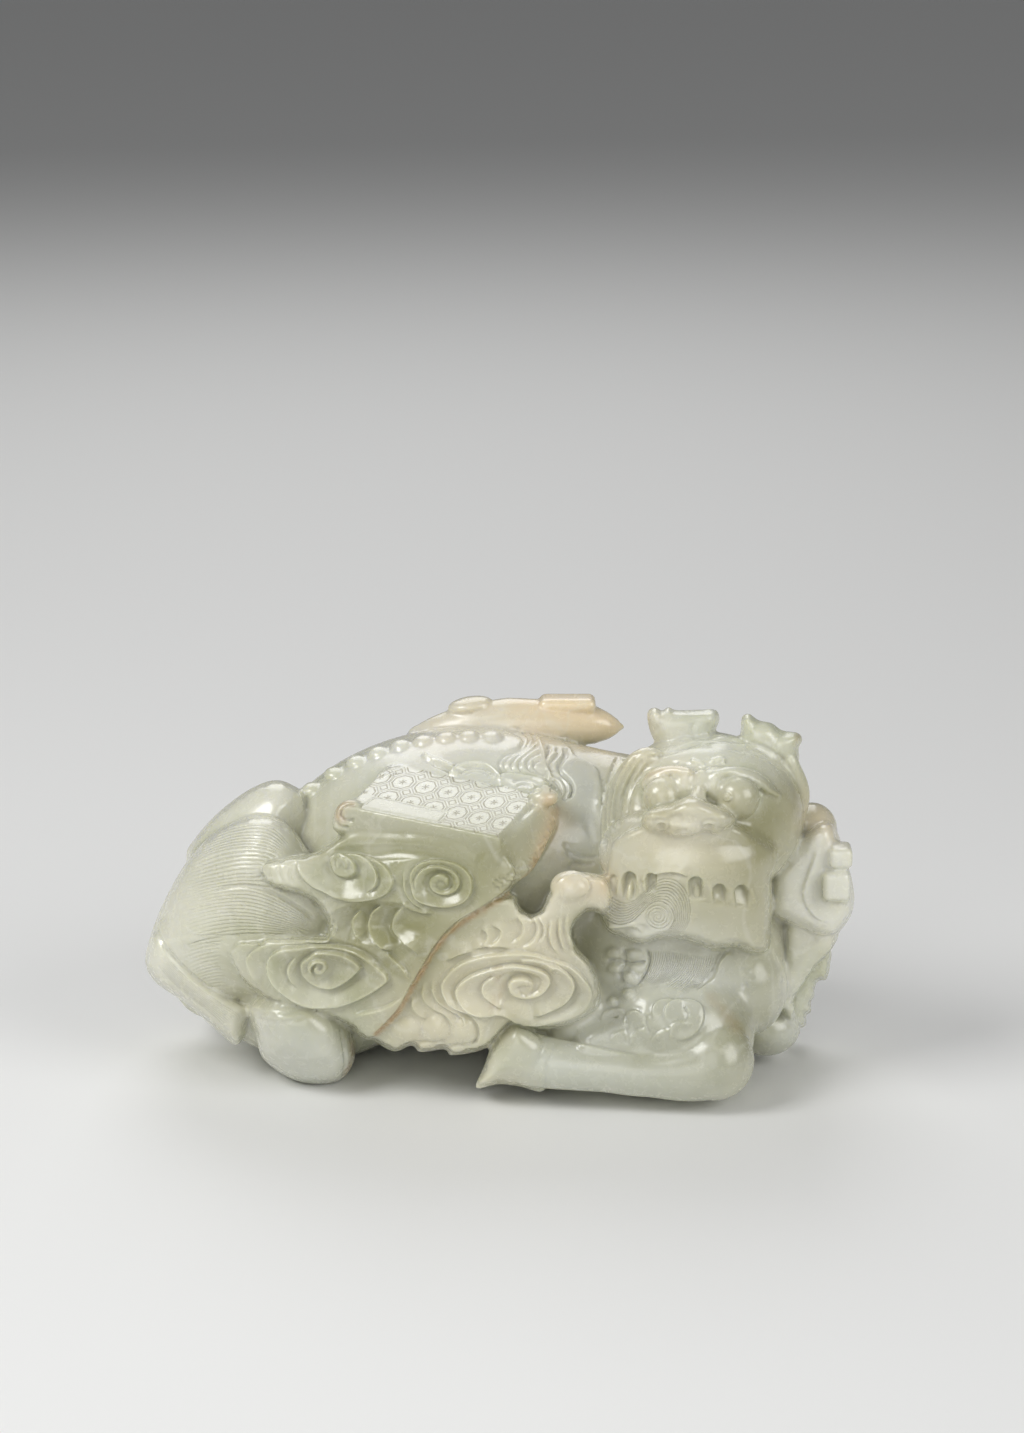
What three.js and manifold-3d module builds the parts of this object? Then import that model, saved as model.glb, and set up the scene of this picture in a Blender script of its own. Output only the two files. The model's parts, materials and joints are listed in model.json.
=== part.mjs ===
// A jade carving of a recumbent qilin, carved from one pebble. It breathes out a bank of clouds that bears
// a cased book along its near flank, and carries a wrapped scroll behind its spine.
// Millimetres, +Z up, +X towards the head, the near side faces -Y. The origin is on the resting plane, under
// the middle of the carving's box.
import * as THREE from "three";
import { mergeVertices } from "three/addons/utils/BufferGeometryUtils.js";
import Module from "manifold-3d";

const wasm = await Module();
wasm.setup();

// Driving sizes of the whole carving
const LENGTH = 174; // over all, from the tail to the sash
const SIDE_TILT = THREE.MathUtils.degToRad(16); // the side drawing looks down on the carving by this much
const DRAWING_REACH = 1000; // distance of the drawing's eye from its plane
const DRAWING_MIDDLE = [3, 81.9]; // the point of the drawing straight in front of its eye
const GROUND_V = -3; // the height in the drawing of the point under the eye's aim
const BOX_MIDDLE = new THREE.Vector3(-0.26, -1.42, 0); // the middle of the box, before it is centred

// The side drawing. A point (u, v) of it, u to the right and v up, lies on one sight line from the eye; with
// a depth y it becomes one point of the carving.
const rise = new THREE.Vector3(0, Math.sin(SIDE_TILT), Math.cos(SIDE_TILT));
const inward = new THREE.Vector3(0, Math.cos(SIDE_TILT), -Math.sin(SIDE_TILT));
const onPlane = (u, v) => new THREE.Vector3(u, 0, 0).addScaledVector(rise, v - GROUND_V);
const eye = onPlane(...DRAWING_MIDDLE).addScaledVector(inward, -DRAWING_REACH);

function at(u, v, y) {
  const plane = onPlane(u, v);
  const share = (y - eye.y) / (plane.y - eye.y);
  return plane.sub(eye).multiplyScalar(share).add(eye);
}

// The pebble's rounded near face: its depth at a point of the drawing. Relief is measured from it.
const PEBBLE = { u: 8, v: 30, y: -43, alongU: 0.0036, alongV: 0.003 };

function pebbleFace(u, v) {
  return PEBBLE.y + PEBBLE.alongU * (u - PEBBLE.u) ** 2 + PEBBLE.alongV * (v - PEBBLE.v) ** 2;
}

// Solids

function solidOf(geometry) {
  const bare = geometry.index ? geometry.toNonIndexed() : geometry.clone();
  for (const name of Object.keys(bare.attributes)) {
    if (name !== "position") bare.deleteAttribute(name);
  }
  const merged = mergeVertices(bare, 1e-4);
  return new wasm.Manifold(
    new wasm.Mesh({
      numProp: 3,
      vertProperties: merged.attributes.position.array,
      triVerts: new Uint32Array(merged.index.array),
    }),
  );
}

// Moves every vertex of a geometry by a function of its place.
function reshape(geometry, move) {
  const place = geometry.attributes.position;
  const p = new THREE.Vector3();
  for (let i = 0; i < place.count; i++) {
    p.fromBufferAttribute(place, i);
    const q = move(p);
    place.setXYZ(i, q.x, q.y, q.z);
  }
  return geometry;
}

// A ball or egg at a place, with radii along X, Y and Z, leaning about Y.
function egg(centre, [rx, ry, rz], { around = 10, rings = 6, leanDeg = 0 } = {}) {
  const g = new THREE.SphereGeometry(1, around, rings);
  g.rotateX(Math.PI / 2);
  g.scale(rx, ry, rz);
  g.rotateY(THREE.MathUtils.degToRad(leanDeg));
  g.translate(centre.x, centre.y, centre.z);
  return solidOf(g);
}

// A rounded limb through some points, each with a radius, with round ends.
function limb(points, radii, { around = 6, steps = 6 } = {}) {
  const path = new THREE.CatmullRomCurve3(points, false, "centripetal");
  const thickness = new THREE.SplineCurve(radii.map((r, i) => new THREE.Vector2(i / (radii.length - 1), r)));
  const g = new THREE.CapsuleGeometry(1, 2, 2, around, steps);
  const frames = [];
  for (let i = 0; i <= steps; i++) frames.push(path.getTangent(i / steps));
  let side = new THREE.Vector3(0, 0, 1);
  if (Math.abs(frames[0].dot(side)) > 0.9) side = new THREE.Vector3(1, 0, 0);
  const sides = frames.map((tangent) => {
    side = side.clone().addScaledVector(tangent, -side.dot(tangent)).normalize();
    return side;
  });
  return solidOf(
    reshape(g, (p) => {
      const along = THREE.MathUtils.clamp((p.y + 1) / 2, 0, 1);
      const k = Math.round(along * steps);
      const tangent = frames[k];
      const across = sides[k];
      const other = new THREE.Vector3().crossVectors(tangent, across);
      const r = thickness.getPoint(along).y;
      const past = Math.abs(p.y) > 1 ? Math.sign(p.y) * (Math.abs(p.y) - 1) * r : 0;
      return path
        .getPoint(along)
        .addScaledVector(across, p.x * r)
        .addScaledVector(other, -p.z * r)
        .addScaledVector(tangent, past);
    }),
  );
}

// A swelling form with a drawn outline: full at its middle, falling to the outline all round. Its crown
// stands `front` before the depth `y` of its rim and its back `back` behind it. `y` may be a function of
// (u, v).
function pillow(outline, middle, y, front, back, { around = 16, rings = 4, flat = 2.4 } = {}) {
  const rim = new THREE.CatmullRomCurve3(
    outline.map(([u, v]) => new THREE.Vector3(u, v, 0)),
    true,
    "catmullrom",
    0.5,
  );
  const area = THREE.ShapeUtils.area(outline.map(([u, v]) => new THREE.Vector2(u, v)));
  const rimDepth = typeof y === "function" ? y : () => y;
  const g = new THREE.SphereGeometry(1, around, rings);
  return solidOf(
    reshape(g, (p) => {
      const share = (Math.atan2(p.z, p.x) / (2 * Math.PI) + 1) % 1;
      const edge = rim.getPoint(area > 0 ? 1 - share : share);
      const out = Math.min(1, Math.hypot(p.x, p.z)) ** (2 / flat);
      const u = middle[0] + (edge.x - middle[0]) * out;
      const v = middle[1] + (edge.y - middle[1]) * out;
      return at(u, v, rimDepth(u, v) - p.y * (p.y > 0 ? front : back));
    }),
  );
}

// A block from one corner and three edges, in any order.
function block(corner, ...edges) {
  const frame = new THREE.Matrix4().makeBasis(...edges);
  if (frame.determinant() < 0) frame.makeBasis(edges[1], edges[0], edges[2]);
  const g = new THREE.BoxGeometry(1, 1, 1);
  g.translate(0.5, 0.5, 0.5);
  g.applyMatrix4(frame.setPosition(corner));
  return solidOf(g);
}

const joined = (parts) => parts.reduce((whole, part) => whole.add(part));

// The body

const TORSO = { middle: new THREE.Vector3(-6, 8, 42), radii: [54, 34, 40.5] };
const SPINE = { count: 9, first: -46, pitch: 5.5, near: 8, bead: [2.6, 2.8, 2.4] };

function torso() {
  const [rx, ry, rz] = TORSO.radii;
  const beads = Array.from({ length: SPINE.count }, (_, i) => {
    const x = SPINE.first + i * SPINE.pitch;
    const share = Math.sqrt(1 - ((x - TORSO.middle.x) / rx) ** 2 - (SPINE.near / ry) ** 2);
    const place = new THREE.Vector3(x, TORSO.middle.y - SPINE.near, TORSO.middle.z + rz * share);
    return egg(place, SPINE.bead, { around: 6, rings: 4 });
  });
  return joined([
    egg(TORSO.middle, TORSO.radii, { around: 18, rings: 10 }),
    egg(new THREE.Vector3(-46, 4, 29.5), [33, 27, 30.5], { around: 12, rings: 8 }),
    egg(new THREE.Vector3(41, 0, 31), [31, 30, 32], { around: 12, rings: 8 }),
    limb(
      [new THREE.Vector3(8, 6, 60), new THREE.Vector3(26, 3, 59), new THREE.Vector3(46, -6, 60)],
      [21, 19, 17],
      { around: 12, steps: 3 },
    ),
    ...beads,
  ]);
}

// The bushy tail, swept round the rump in three locks

function tail() {
  const upperLock = pillow(
    [[-49, 62], [-52, 64.8], [-55.5, 66], [-59.5, 65.2], [-65, 62.2], [-71.2, 57.2], [-76.2, 51.5],
      [-78.4, 47], [-76, 38], [-66, 34], [-52, 40], [-47, 52]],
    [-62, 52], 2, 14, 14,
  );
  const nearLock = pillow(
    [[-48, 48.5], [-50.5, 52.2], [-53.8, 55.5], [-58.8, 57.2], [-65, 56.2], [-72.5, 52], [-78, 46],
      [-82, 39.5], [-85.5, 32.2], [-87.5, 25], [-84, 19.5], [-79, 15], [-73.5, 12], [-67, 10], [-59.5, 10.2],
      [-48, 12], [-40, 24], [-41, 40]],
    [-62, 34], (u) => -12 - 0.2 * (u + 62), 16, 18,
  );
  const lowerLock = pillow(
    [[-86.6, 28], [-88.6, 22.2], [-87.9, 18], [-85, 14.5], [-80, 11.2], [-75, 7.2], [-70, 2.8], [-66.4, -0.2],
      [-64.6, 0.8], [-63.4, 4.8], [-63, 9.5], [-68, 13], [-76, 19], [-83, 27]],
    [-74, 13], (u) => -12 - 0.25 * (u + 74), 9, 9,
  );
  return joined([upperLock, nearLock, lowerLock]);
}

// The near legs: a hoof under the tail, and a folded foreleg

function nearLegs() {
  const hindHoof = pillow(
    [[-62.5, 10.2], [-62.5, 6], [-61, 1.8], [-59.5, -3.2], [-55.5, -6.8], [-50.5, -9.3], [-45, -10.1],
      [-40, -9], [-37, -5.5], [-36.2, -1.5], [-37, 2.5], [-38.8, 7], [-45, 13], [-55, 14]],
    [-49.5, 1], -24, 8, 16,
  );
  const foreHoof = pillow(
    [[-6, -11], [-4.2, -6], [-2, -0.2], [0.8, 3.5], [4, 5.5], [8, 3.5], [12, 0], [12.5, -6.5], [10.8, -11.8],
      [5, -10.6], [-0.5, -10]],
    [5, -3.5], -33, 7, 7,
  );
  const forearm = limb(
    [at(8, -4, -33), at(16, -5, -34), at(26, -6, -35), at(37, -7, -36), at(50, -6, -36), at(54, -4.5, -35)],
    [6.6, 6.2, 5.8, 6, 8, 8.6],
    { around: 8, steps: 6 },
  );
  const shoulder = egg(at(45, 5, -26), [19, 14, 13], { leanDeg: 20 });
  const elbow = egg(at(53.5, -4, -34), [9.8, 9.5, 9.8], { around: 10, rings: 8 });
  const breast = egg(at(24, 3, -26), [14, 9, 12]);
  return joined([hindHoof, foreHoof, forearm, shoulder, elbow, breast]);
}

// The head, turned to face the viewer over the shoulder

const TOOTH_GAPS = [[32, 40.5], [37.2, 40.2], [48.6, 38.6], [54.8, 37.8], [60.4, 37.6]];

function head() {
  const skull = egg(at(51.2, 57, -13), [24, 21, 20.5], { around: 12, rings: 10 });
  const jaw = egg(at(48, 39, -22), [20, 18, 15], { around: 8 });
  const muzzle = egg(at(46.8, 44, -32), [20.8, 13, 12.6], { around: 12, rings: 8 });
  const chops = pillow(
    [[25.8, 40], [25.4, 32.2], [27, 28.2], [31.2, 26.6], [35.2, 25], [41.2, 26.4], [47.5, 25.6], [53, 23.6],
      [58.8, 24.2], [63.8, 22.8], [67.2, 24], [68.2, 28.5], [67.6, 39], [60, 44], [45, 45], [32.5, 44]],
    [47, 35], (u) => -30 + 0.014 * (u - 46) ** 2, 9.5, 14, { around: 18, flat: 5 },
  );
  const nose = pillow(
    [[35, 56.5], [36.2, 59], [40, 60.2], [43, 61.5], [47.5, 61.8], [51.2, 61], [55, 59.5], [58.2, 57.2],
      [58.6, 55.5], [57, 53], [53.8, 51.5], [51, 52.4], [48.8, 51], [46, 51.6], [43, 53], [39, 53.5]],
    [47, 56.5], -37, 8, 8,
  );
  const brows = [
    limb([at(35.5, 63, -28), at(38, 67.5, -30), at(43.5, 69.5, -31), at(48, 68.5, -31)], [2, 2.6, 2.8, 2], {
      steps: 6,
    }),
    limb(
      [at(51, 68.5, -31), at(58, 69, -32), at(65, 67, -30), at(68.5, 63.5, -28), at(70.5, 61, -26)],
      [2, 2.8, 3, 2.4, 1.2],
      { steps: 8 },
    ),
  ];
  const eyes = [egg(at(40.4, 62.2, -31), [4.6, 4.6, 4.4]), egg(at(59.6, 61.6, -32), [5, 5, 4.9])];
  const hornLeft = pillow(
    [[36.8, 82.6], [38.8, 84.2], [40.6, 83.2], [42, 84.4], [43.8, 83.5], [50, 83.6], [53.8, 83.6],
      [54.9, 81.5], [53.8, 78.5], [51.2, 74], [44, 72], [38.5, 76]],
    [46, 79], -9, 4, 5,
  );
  const hornRight = pillow(
    [[60.2, 79.8], [60.8, 82.2], [62.4, 82.6], [64.5, 81], [68, 80.2], [70.5, 78.4], [74.5, 77.8], [75.6, 76],
      [74.6, 74], [74.4, 70.5], [68, 69], [61, 72]],
    [67, 75.5], -9, 4, 5,
  );
  const sideHair = pillow(
    [[32.5, 73.2], [28, 67.2], [25.6, 59.8], [25.4, 51], [26.5, 46.4], [32, 48], [36, 60]],
    [30, 60], -20, 5, 8,
  );
  const curls = limb([at(72.6, 70.5, -12), at(75, 63, -11), at(74.4, 56, -11)], [2, 2.4, 2], { steps: 3 });
  const lipFace = (u) => -43 + 0.016 * (u - 46) ** 2;
  const gaps = TOOTH_GAPS.map(([u, v]) => egg(at(u, v, lipFace(u)), [1.3, 4, 2.4], { around: 6, rings: 4 }));
  return joined([skull, jaw, muzzle, chops, nose, ...brows, ...eyes, hornLeft, hornRight, sideHair, curls])
    .subtract(joined(gaps));
}

// Clouds: crowned lobes, each with a spiral cut in terraces

const SPIRALS = [
  { u: -38.8, v: 44, wide: 9.5, high: 7.2 },
  { u: -14.8, v: 40.4, wide: 8, high: 6 },
  { u: -44, v: 18.6, wide: 15.5, high: 8.6 },
  { u: 4.2, v: 14.4, wide: 16.5, high: 8.4 },
];
const TERRACES = [1, 0.68, 0.36]; // widths of the three terraces, as shares of the spiral
const TERRACE_STEP = 1; // how far each stands before the last
const TERRACE_THICK = 2.6;

function spiral({ u, v, wide, high }) {
  return TERRACES.map((share, i) => {
    const place = at(u + (1 - share) * 2, v, pebbleFace(u, v) + 1.6 - i * TERRACE_STEP);
    return egg(place, [wide * share, TERRACE_THICK, high * share], { around: 10, rings: 4 });
  });
}

const CLOUD = { rimSink: 8, crown: 7, root: 14 };

function cloudLobe(outline, middle) {
  const rim = (u, v) => pebbleFace(u, v) + CLOUD.rimSink;
  return pillow(outline, middle, rim, CLOUD.crown, CLOUD.root, { flat: 4, around: 18 });
}

function clouds() {
  const upperLeft = cloudLobe(
    [[-60.5, 43.5], [-58.8, 45.8], [-52.5, 46.8], [-46.2, 48], [-42.5, 50.5], [-37.5, 53], [-31.2, 53.5],
      [-26, 50], [-24, 41], [-28.8, 33.5], [-37.5, 32.5], [-45, 35.5], [-51.2, 38], [-57.5, 40.2]],
    [-38.8, 44],
  );
  const upperRight = cloudLobe(
    [[-28, 48.5], [-17.5, 52.5], [-7.5, 51], [1, 49], [9, 46], [8.4, 43], [3.6, 40], [-0.8, 36.6], [-8, 33],
      [-15, 28], [-25, 27], [-30, 37.2]],
    [-14, 41],
  );
  const lowerLeft = cloudLobe(
    [[-68.2, 22.8], [-66.8, 25.5], [-62.5, 26.5], [-52.5, 27], [-43.8, 28.5], [-33.8, 28.5], [-25, 24],
      [-20.6, 17.2], [-23.2, 11], [-28.8, 4.8], [-34.2, 1], [-38, 4.2], [-45, 6.5], [-51.2, 8], [-58, 12],
      [-65, 18]],
    [-45.5, 18],
  );
  const bridge = egg(at(-28, 29, -27), [13, 11, 12]);
  const lowerRight = cloudLobe(
    [[-18.8, 17.2], [-15, 22.2], [-5, 25], [7.5, 26], [17.5, 23.5], [22.5, 19.8], [25, 13.5], [23.8, 9],
      [17.5, 5.8], [10, 4], [1.2, 5.6], [-7.5, 7], [-16.2, 11]],
    [5, 14.8],
  );
  const breathNeck = cloudLobe(
    [[3.4, 37.2], [5.5, 34], [9, 33], [11.2, 36], [13.8, 39.8], [18, 43], [22.5, 42.5], [27, 40], [28, 34],
      [21.5, 32], [18, 28.5], [18, 24.8], [20, 19], [6, 14], [-10, 16], [-17.5, 21], [-15, 27], [-7.5, 32.5],
      [-0.8, 36.4]],
    [8, 27],
  );
  const fringe = cloudLobe(
    [[-31.2, 2.2], [-27, -1.8], [-22, -0.8], [-15, -2], [-6.2, -2], [-2.5, 0], [0, 3.5], [3, 9], [-6, 16],
      [-18, 17], [-25, 9.2]],
    [-14, 6.5],
  );
  const knob = egg(at(17.2, 39.2, pebbleFace(17.2, 39.2) + 2), [4.8, 3.6, 3.6], { around: 8 });
  return joined([upperLeft, upperRight, lowerLeft, bridge, lowerRight, breathNeck, fringe, knob,
    ...SPIRALS.flatMap(spiral)]);
}

// The cased book, borne on the upper clouds

const BOOK = {
  corner: at(0, 51.6, -42), // the near corner of its top, at the right
  leftEnd: at(-36.2, 59, -30),
  farEnd: at(12.6, 62, -17.5),
  along: 38.8,
  across: 27.4,
  thick: 8.4,
  cover: 1.8,
  overhang: 0.9, // how far the covers reach past the leaves
};

function book() {
  const left = BOOK.leftEnd.clone().sub(BOOK.corner).normalize();
  const far = BOOK.farEnd.clone().sub(BOOK.corner);
  far.addScaledVector(left, -far.dot(left)).normalize();
  const down = new THREE.Vector3().crossVectors(left, far);
  const cover = block(
    BOOK.corner,
    left.clone().multiplyScalar(BOOK.along),
    far.clone().multiplyScalar(BOOK.across),
    down.clone().multiplyScalar(BOOK.cover),
  );
  const leaves = block(
    BOOK.corner.clone().addScaledVector(left, BOOK.overhang).addScaledVector(far, BOOK.overhang),
    left.clone().multiplyScalar(BOOK.along - 2 * BOOK.overhang),
    far.clone().multiplyScalar(BOOK.across - 2 * BOOK.overhang),
    down.clone().multiplyScalar(BOOK.thick),
  );
  const rock = egg(at(8.6, 50, -27), [5, 7, 8]);
  return joined([cover, leaves, rock]);
}

// The wrapped scroll lying behind the spine

const SCROLL = { y: 18, seal: [14, 9, 4], knot: [12, 8, 3] };

function scroll() {
  const y = SCROLL.y;
  const wrapped = limb(
    [at(-20, 76.4, y), at(-11, 79.4, y), at(2, 80.2, y), at(14, 80, y), at(24, 79.8, y), at(29.4, 79.6, y)],
    [3, 5.8, 6.8, 6.6, 4.4, 1.2],
    { around: 8, steps: 6 },
  );
  const onTop = ([wide, deep, high], u, v) =>
    block(at(u, v, y + deep / 2), new THREE.Vector3(wide, 0, 0), new THREE.Vector3(0, -deep, 0),
      new THREE.Vector3(0, 0, -high));
  return joined([wrapped, onTop(SCROLL.seal, 9.8, 88), onTop(SCROLL.knot, -13, 86.2)]);
}

// The fluttering end of the sash beside the head, with its folds below

function sash() {
  const leaf = pillow(
    [[80, 56], [75, 53], [70.5, 48], [68, 43], [67.4, 33], [71.2, 30.8], [76.2, 28], [81.2, 26.8], [85, 28.5],
      [87.8, 32.8], [88.6, 37.8], [87.8, 43.5], [86.2, 49], [83.8, 54]],
    [78.5, 41], -12, 8, 10,
  );
  const buckle = (corner, wide, high) =>
    block(corner, new THREE.Vector3(wide, 0, 0), new THREE.Vector3(0, 8, 0), new THREE.Vector3(0, 0, -high));
  const buckles = [buckle(at(82.4, 48, -17), 5.6, 5), buckle(at(81.2, 42, -20), 6.4, 7)];
  const shoulderKnot = egg(at(78.2, 53.2, -4), [6, 8, 6.5]);
  const fold = pillow(
    [[70.5, 30], [69.5, 22.2], [68.8, 14.8], [70.5, 8.5], [74, 6.2], [75.8, 9], [75.4, 13.5], [78, 18],
      [81.5, 23], [84, 27.6], [77.5, 30.5]],
    [75, 20], -8, 6, 10,
  );
  const underFold = pillow(
    [[83, 26], [83, 21], [81.5, 16.4], [79, 16], [78.2, 11], [77, 7.5], [76, 4.2], [70, 5], [70, 24]],
    [75, 16], 3, 7, 10,
  );
  return joined([leaf, ...buckles, shoulderKnot, fold, underFold]);
}

// The far side: haunch, shoulder, folded legs and a low bank of cloud between them

function farSide() {
  const haunch = egg(new THREE.Vector3(-40, 24, 31), [27, 17, 25]);
  const hindLeg = limb(
    [new THREE.Vector3(-56, 28, 9), new THREE.Vector3(-40, 34, 8), new THREE.Vector3(-22, 34, 7)],
    [10, 8.4, 7.2],
    { around: 8, steps: 4 },
  );
  const shoulder = egg(new THREE.Vector3(40, 18, 34), [22, 17, 25], { leanDeg: 12 });
  const foreLeg = limb(
    [new THREE.Vector3(58, 22, 9), new THREE.Vector3(44, 31, 8), new THREE.Vector3(26, 34, 7)],
    [10, 8, 7],
    { around: 8, steps: 4 },
  );
  const farPaw = egg(at(66.5, 4.6, -3), [8.6, 9, 7.2]);
  const chest = egg(at(60, 16, -15), [12, 13, 13]);
  const bank = [
    egg(new THREE.Vector3(-12, 31, 18), [13, 9, 15]),
    egg(new THREE.Vector3(9, 32, 24), [14, 9, 17]),
  ];
  const lock = egg(new THREE.Vector3(-66, 14, 30), [15, 14, 26], { leanDeg: 24 });
  return joined([haunch, hindLeg, shoulder, foreLeg, farPaw, chest, lock, ...bank]);
}

// The one solid, ground flat underneath and moved over the origin

function carving() {
  const whole = joined([torso(), tail(), nearLegs(), head(), clouds(), book(), scroll(), sash(), farSide()]);
  const aboveTheTable = block(
    new THREE.Vector3(-LENGTH, -LENGTH, 0),
    new THREE.Vector3(2 * LENGTH, 0, 0),
    new THREE.Vector3(0, 2 * LENGTH, 0),
    new THREE.Vector3(0, 0, LENGTH),
  );
  return whole.intersect(aboveTheTable).translate(BOX_MIDDLE.clone().negate().toArray());
}

function geometryOf(solid) {
  const mesh = solid.getMesh();
  const g = new THREE.BufferGeometry();
  g.setAttribute("position", new THREE.BufferAttribute(mesh.vertProperties, mesh.numProp));
  g.setIndex(new THREE.BufferAttribute(mesh.triVerts, 1));
  return g;
}

const jade = new THREE.MeshStandardMaterial({ color: 0xc9cfb8, roughness: 0.28, metalness: 0 });
const qilin = new THREE.Mesh(geometryOf(carving()), jade);
qilin.name = "qilin_carving";

const part = new THREE.Group();
part.add(qilin);

export default part;
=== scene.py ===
"""A jade carving of a recumbent qilin, which breathes out clouds that bear a cased book.

Lengths are in millimetres until a mesh is written, and metres in Blender. A point of the drawing is given
in quarter millimetres across and down, and becomes a point of the carving with its depth, from the near
side to the far side.
"""

import json
import logging
import math
from dataclasses import dataclass, field
from enum import Enum
from typing import Callable, Sequence

import bpy
import numpy as np
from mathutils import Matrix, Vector
from mathutils.geometry import delaunay_2d_cdt
from mathutils.kdtree import KDTree

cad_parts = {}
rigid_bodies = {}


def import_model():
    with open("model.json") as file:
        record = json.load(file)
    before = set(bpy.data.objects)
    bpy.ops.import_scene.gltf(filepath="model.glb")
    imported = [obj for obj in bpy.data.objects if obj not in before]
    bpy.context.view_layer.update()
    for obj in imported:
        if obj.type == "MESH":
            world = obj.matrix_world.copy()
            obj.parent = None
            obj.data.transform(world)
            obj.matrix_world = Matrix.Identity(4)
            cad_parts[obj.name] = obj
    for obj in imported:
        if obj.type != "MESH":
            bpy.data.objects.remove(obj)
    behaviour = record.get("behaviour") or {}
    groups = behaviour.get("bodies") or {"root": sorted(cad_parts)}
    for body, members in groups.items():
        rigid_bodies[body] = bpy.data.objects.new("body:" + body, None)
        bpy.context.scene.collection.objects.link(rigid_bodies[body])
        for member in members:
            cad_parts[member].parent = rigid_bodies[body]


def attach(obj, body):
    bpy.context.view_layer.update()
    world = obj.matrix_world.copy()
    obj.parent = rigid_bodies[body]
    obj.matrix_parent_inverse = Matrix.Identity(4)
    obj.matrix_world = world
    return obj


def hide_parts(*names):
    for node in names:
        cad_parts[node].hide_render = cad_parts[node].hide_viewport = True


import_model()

log = logging.getLogger("carving")

MM = 0.001  # metres in a millimetre
NODE = "qilin_carving"

Point = tuple[float, float]
Place = tuple[float, float, float]
Depth = float | Callable[[np.ndarray, np.ndarray], np.ndarray]


@dataclass(frozen=True)
class Drawing:
    """The side drawing of the carving: an eye that looks down on the near side.

    Every point of the drawing lies on one sight line from the eye. At side -1 the eye looks from behind.
    """

    tilt: float = math.radians(16)
    reach: float = 1000.0
    aim: Point = (512.0, 716.4)
    ground: float = 1056.0
    centre: float = 500.0
    pitch: float = 0.25
    shift: Place = (0.26, 1.42, 0.0)
    side: int = 1

    @property
    def rise(self) -> np.ndarray:
        """The direction that is up the drawing."""
        return np.array([0.0, self.side * math.sin(self.tilt), math.cos(self.tilt)])

    @property
    def inward(self) -> np.ndarray:
        """The direction that the eye looks in."""
        return np.array([0.0, self.side * math.cos(self.tilt), -math.sin(self.tilt)])

    def on_plane(self, across: np.ndarray, down: np.ndarray) -> np.ndarray:
        """Gives the points of the drawing's own plane, before the carving is centred.

        Args:
            across: Distances from the drawing's left edge, in quarter millimetres.
            down: Distances from its top edge.

        Returns:
            Points in millimetres, one a row.
        """
        across, down = np.broadcast_arrays(np.asarray(across, float), np.asarray(down, float))
        right = (across - self.centre) * self.pitch * self.side
        up = (self.ground - down) * self.pitch
        return right[..., None] * np.array([1.0, 0, 0]) + up[..., None] * self.rise

    @property
    def eye(self) -> np.ndarray:
        """The eye's place, before the carving is centred."""
        return self.on_plane(*self.aim) - self.inward * self.reach

    def at(self, across: np.ndarray, down: np.ndarray, depth: np.ndarray) -> np.ndarray:
        """Gives the points of the carving behind points of the drawing.

        Args:
            across: Distances from the drawing's left edge.
            down: Distances from its top edge.
            depth: How far to the far side each point lies, in millimetres.

        Returns:
            Points in millimetres, one a row.
        """
        plane = self.on_plane(across, down)
        share = (depth - self.eye[1]) / (plane[..., 1] - self.eye[1])
        return self.eye + (plane - self.eye) * share[..., None] + np.array(self.shift)

    def seen(self, points: np.ndarray) -> tuple[np.ndarray, np.ndarray, np.ndarray]:
        """Finds where points of the carving show in the drawing.

        Args:
            points: Points in millimetres, one a row.

        Returns:
            Distances across, distances down, and how far from the eye each point is.
        """
        away = points - np.array(self.shift) - self.eye
        far = away @ self.inward
        across = self.aim[0] + self.side * away[:, 0] / far * self.reach / self.pitch
        down = self.aim[1] - (away @ self.rise) / far * self.reach / self.pitch
        return across, down, far


DRAWING = Drawing()
BEHIND = Drawing(side=-1)


def at(across: float, down: float, depth: float) -> Vector:
    """Gives one point of the carving behind a point of the drawing."""
    return Vector(DRAWING.at(np.array(across), np.array(down), np.array(float(depth))))


def spot(x: float, y: float, z: float) -> Vector:
    """Gives a point of the carving by its millimetres, before the carving is centred."""
    return Vector((x, y, z)) + Vector(DRAWING.shift)


PEBBLE_FACE = -43  # depth of the pebble's nearest point, in millimetres
PEBBLE_MIDDLE = (532, 924)  # where that point shows in the drawing
PEBBLE_BEND = (0.000225, 0.0001875)  # how fast the face falls away, across and down


def pebble(across: np.ndarray, down: np.ndarray) -> np.ndarray:
    """Gives the depth of the pebble's rounded near face behind points of the drawing."""
    fall = PEBBLE_FACE + PEBBLE_BEND[0] * (across - PEBBLE_MIDDLE[0]) ** 2
    return fall + PEBBLE_BEND[1] * (down - PEBBLE_MIDDLE[1]) ** 2


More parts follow.
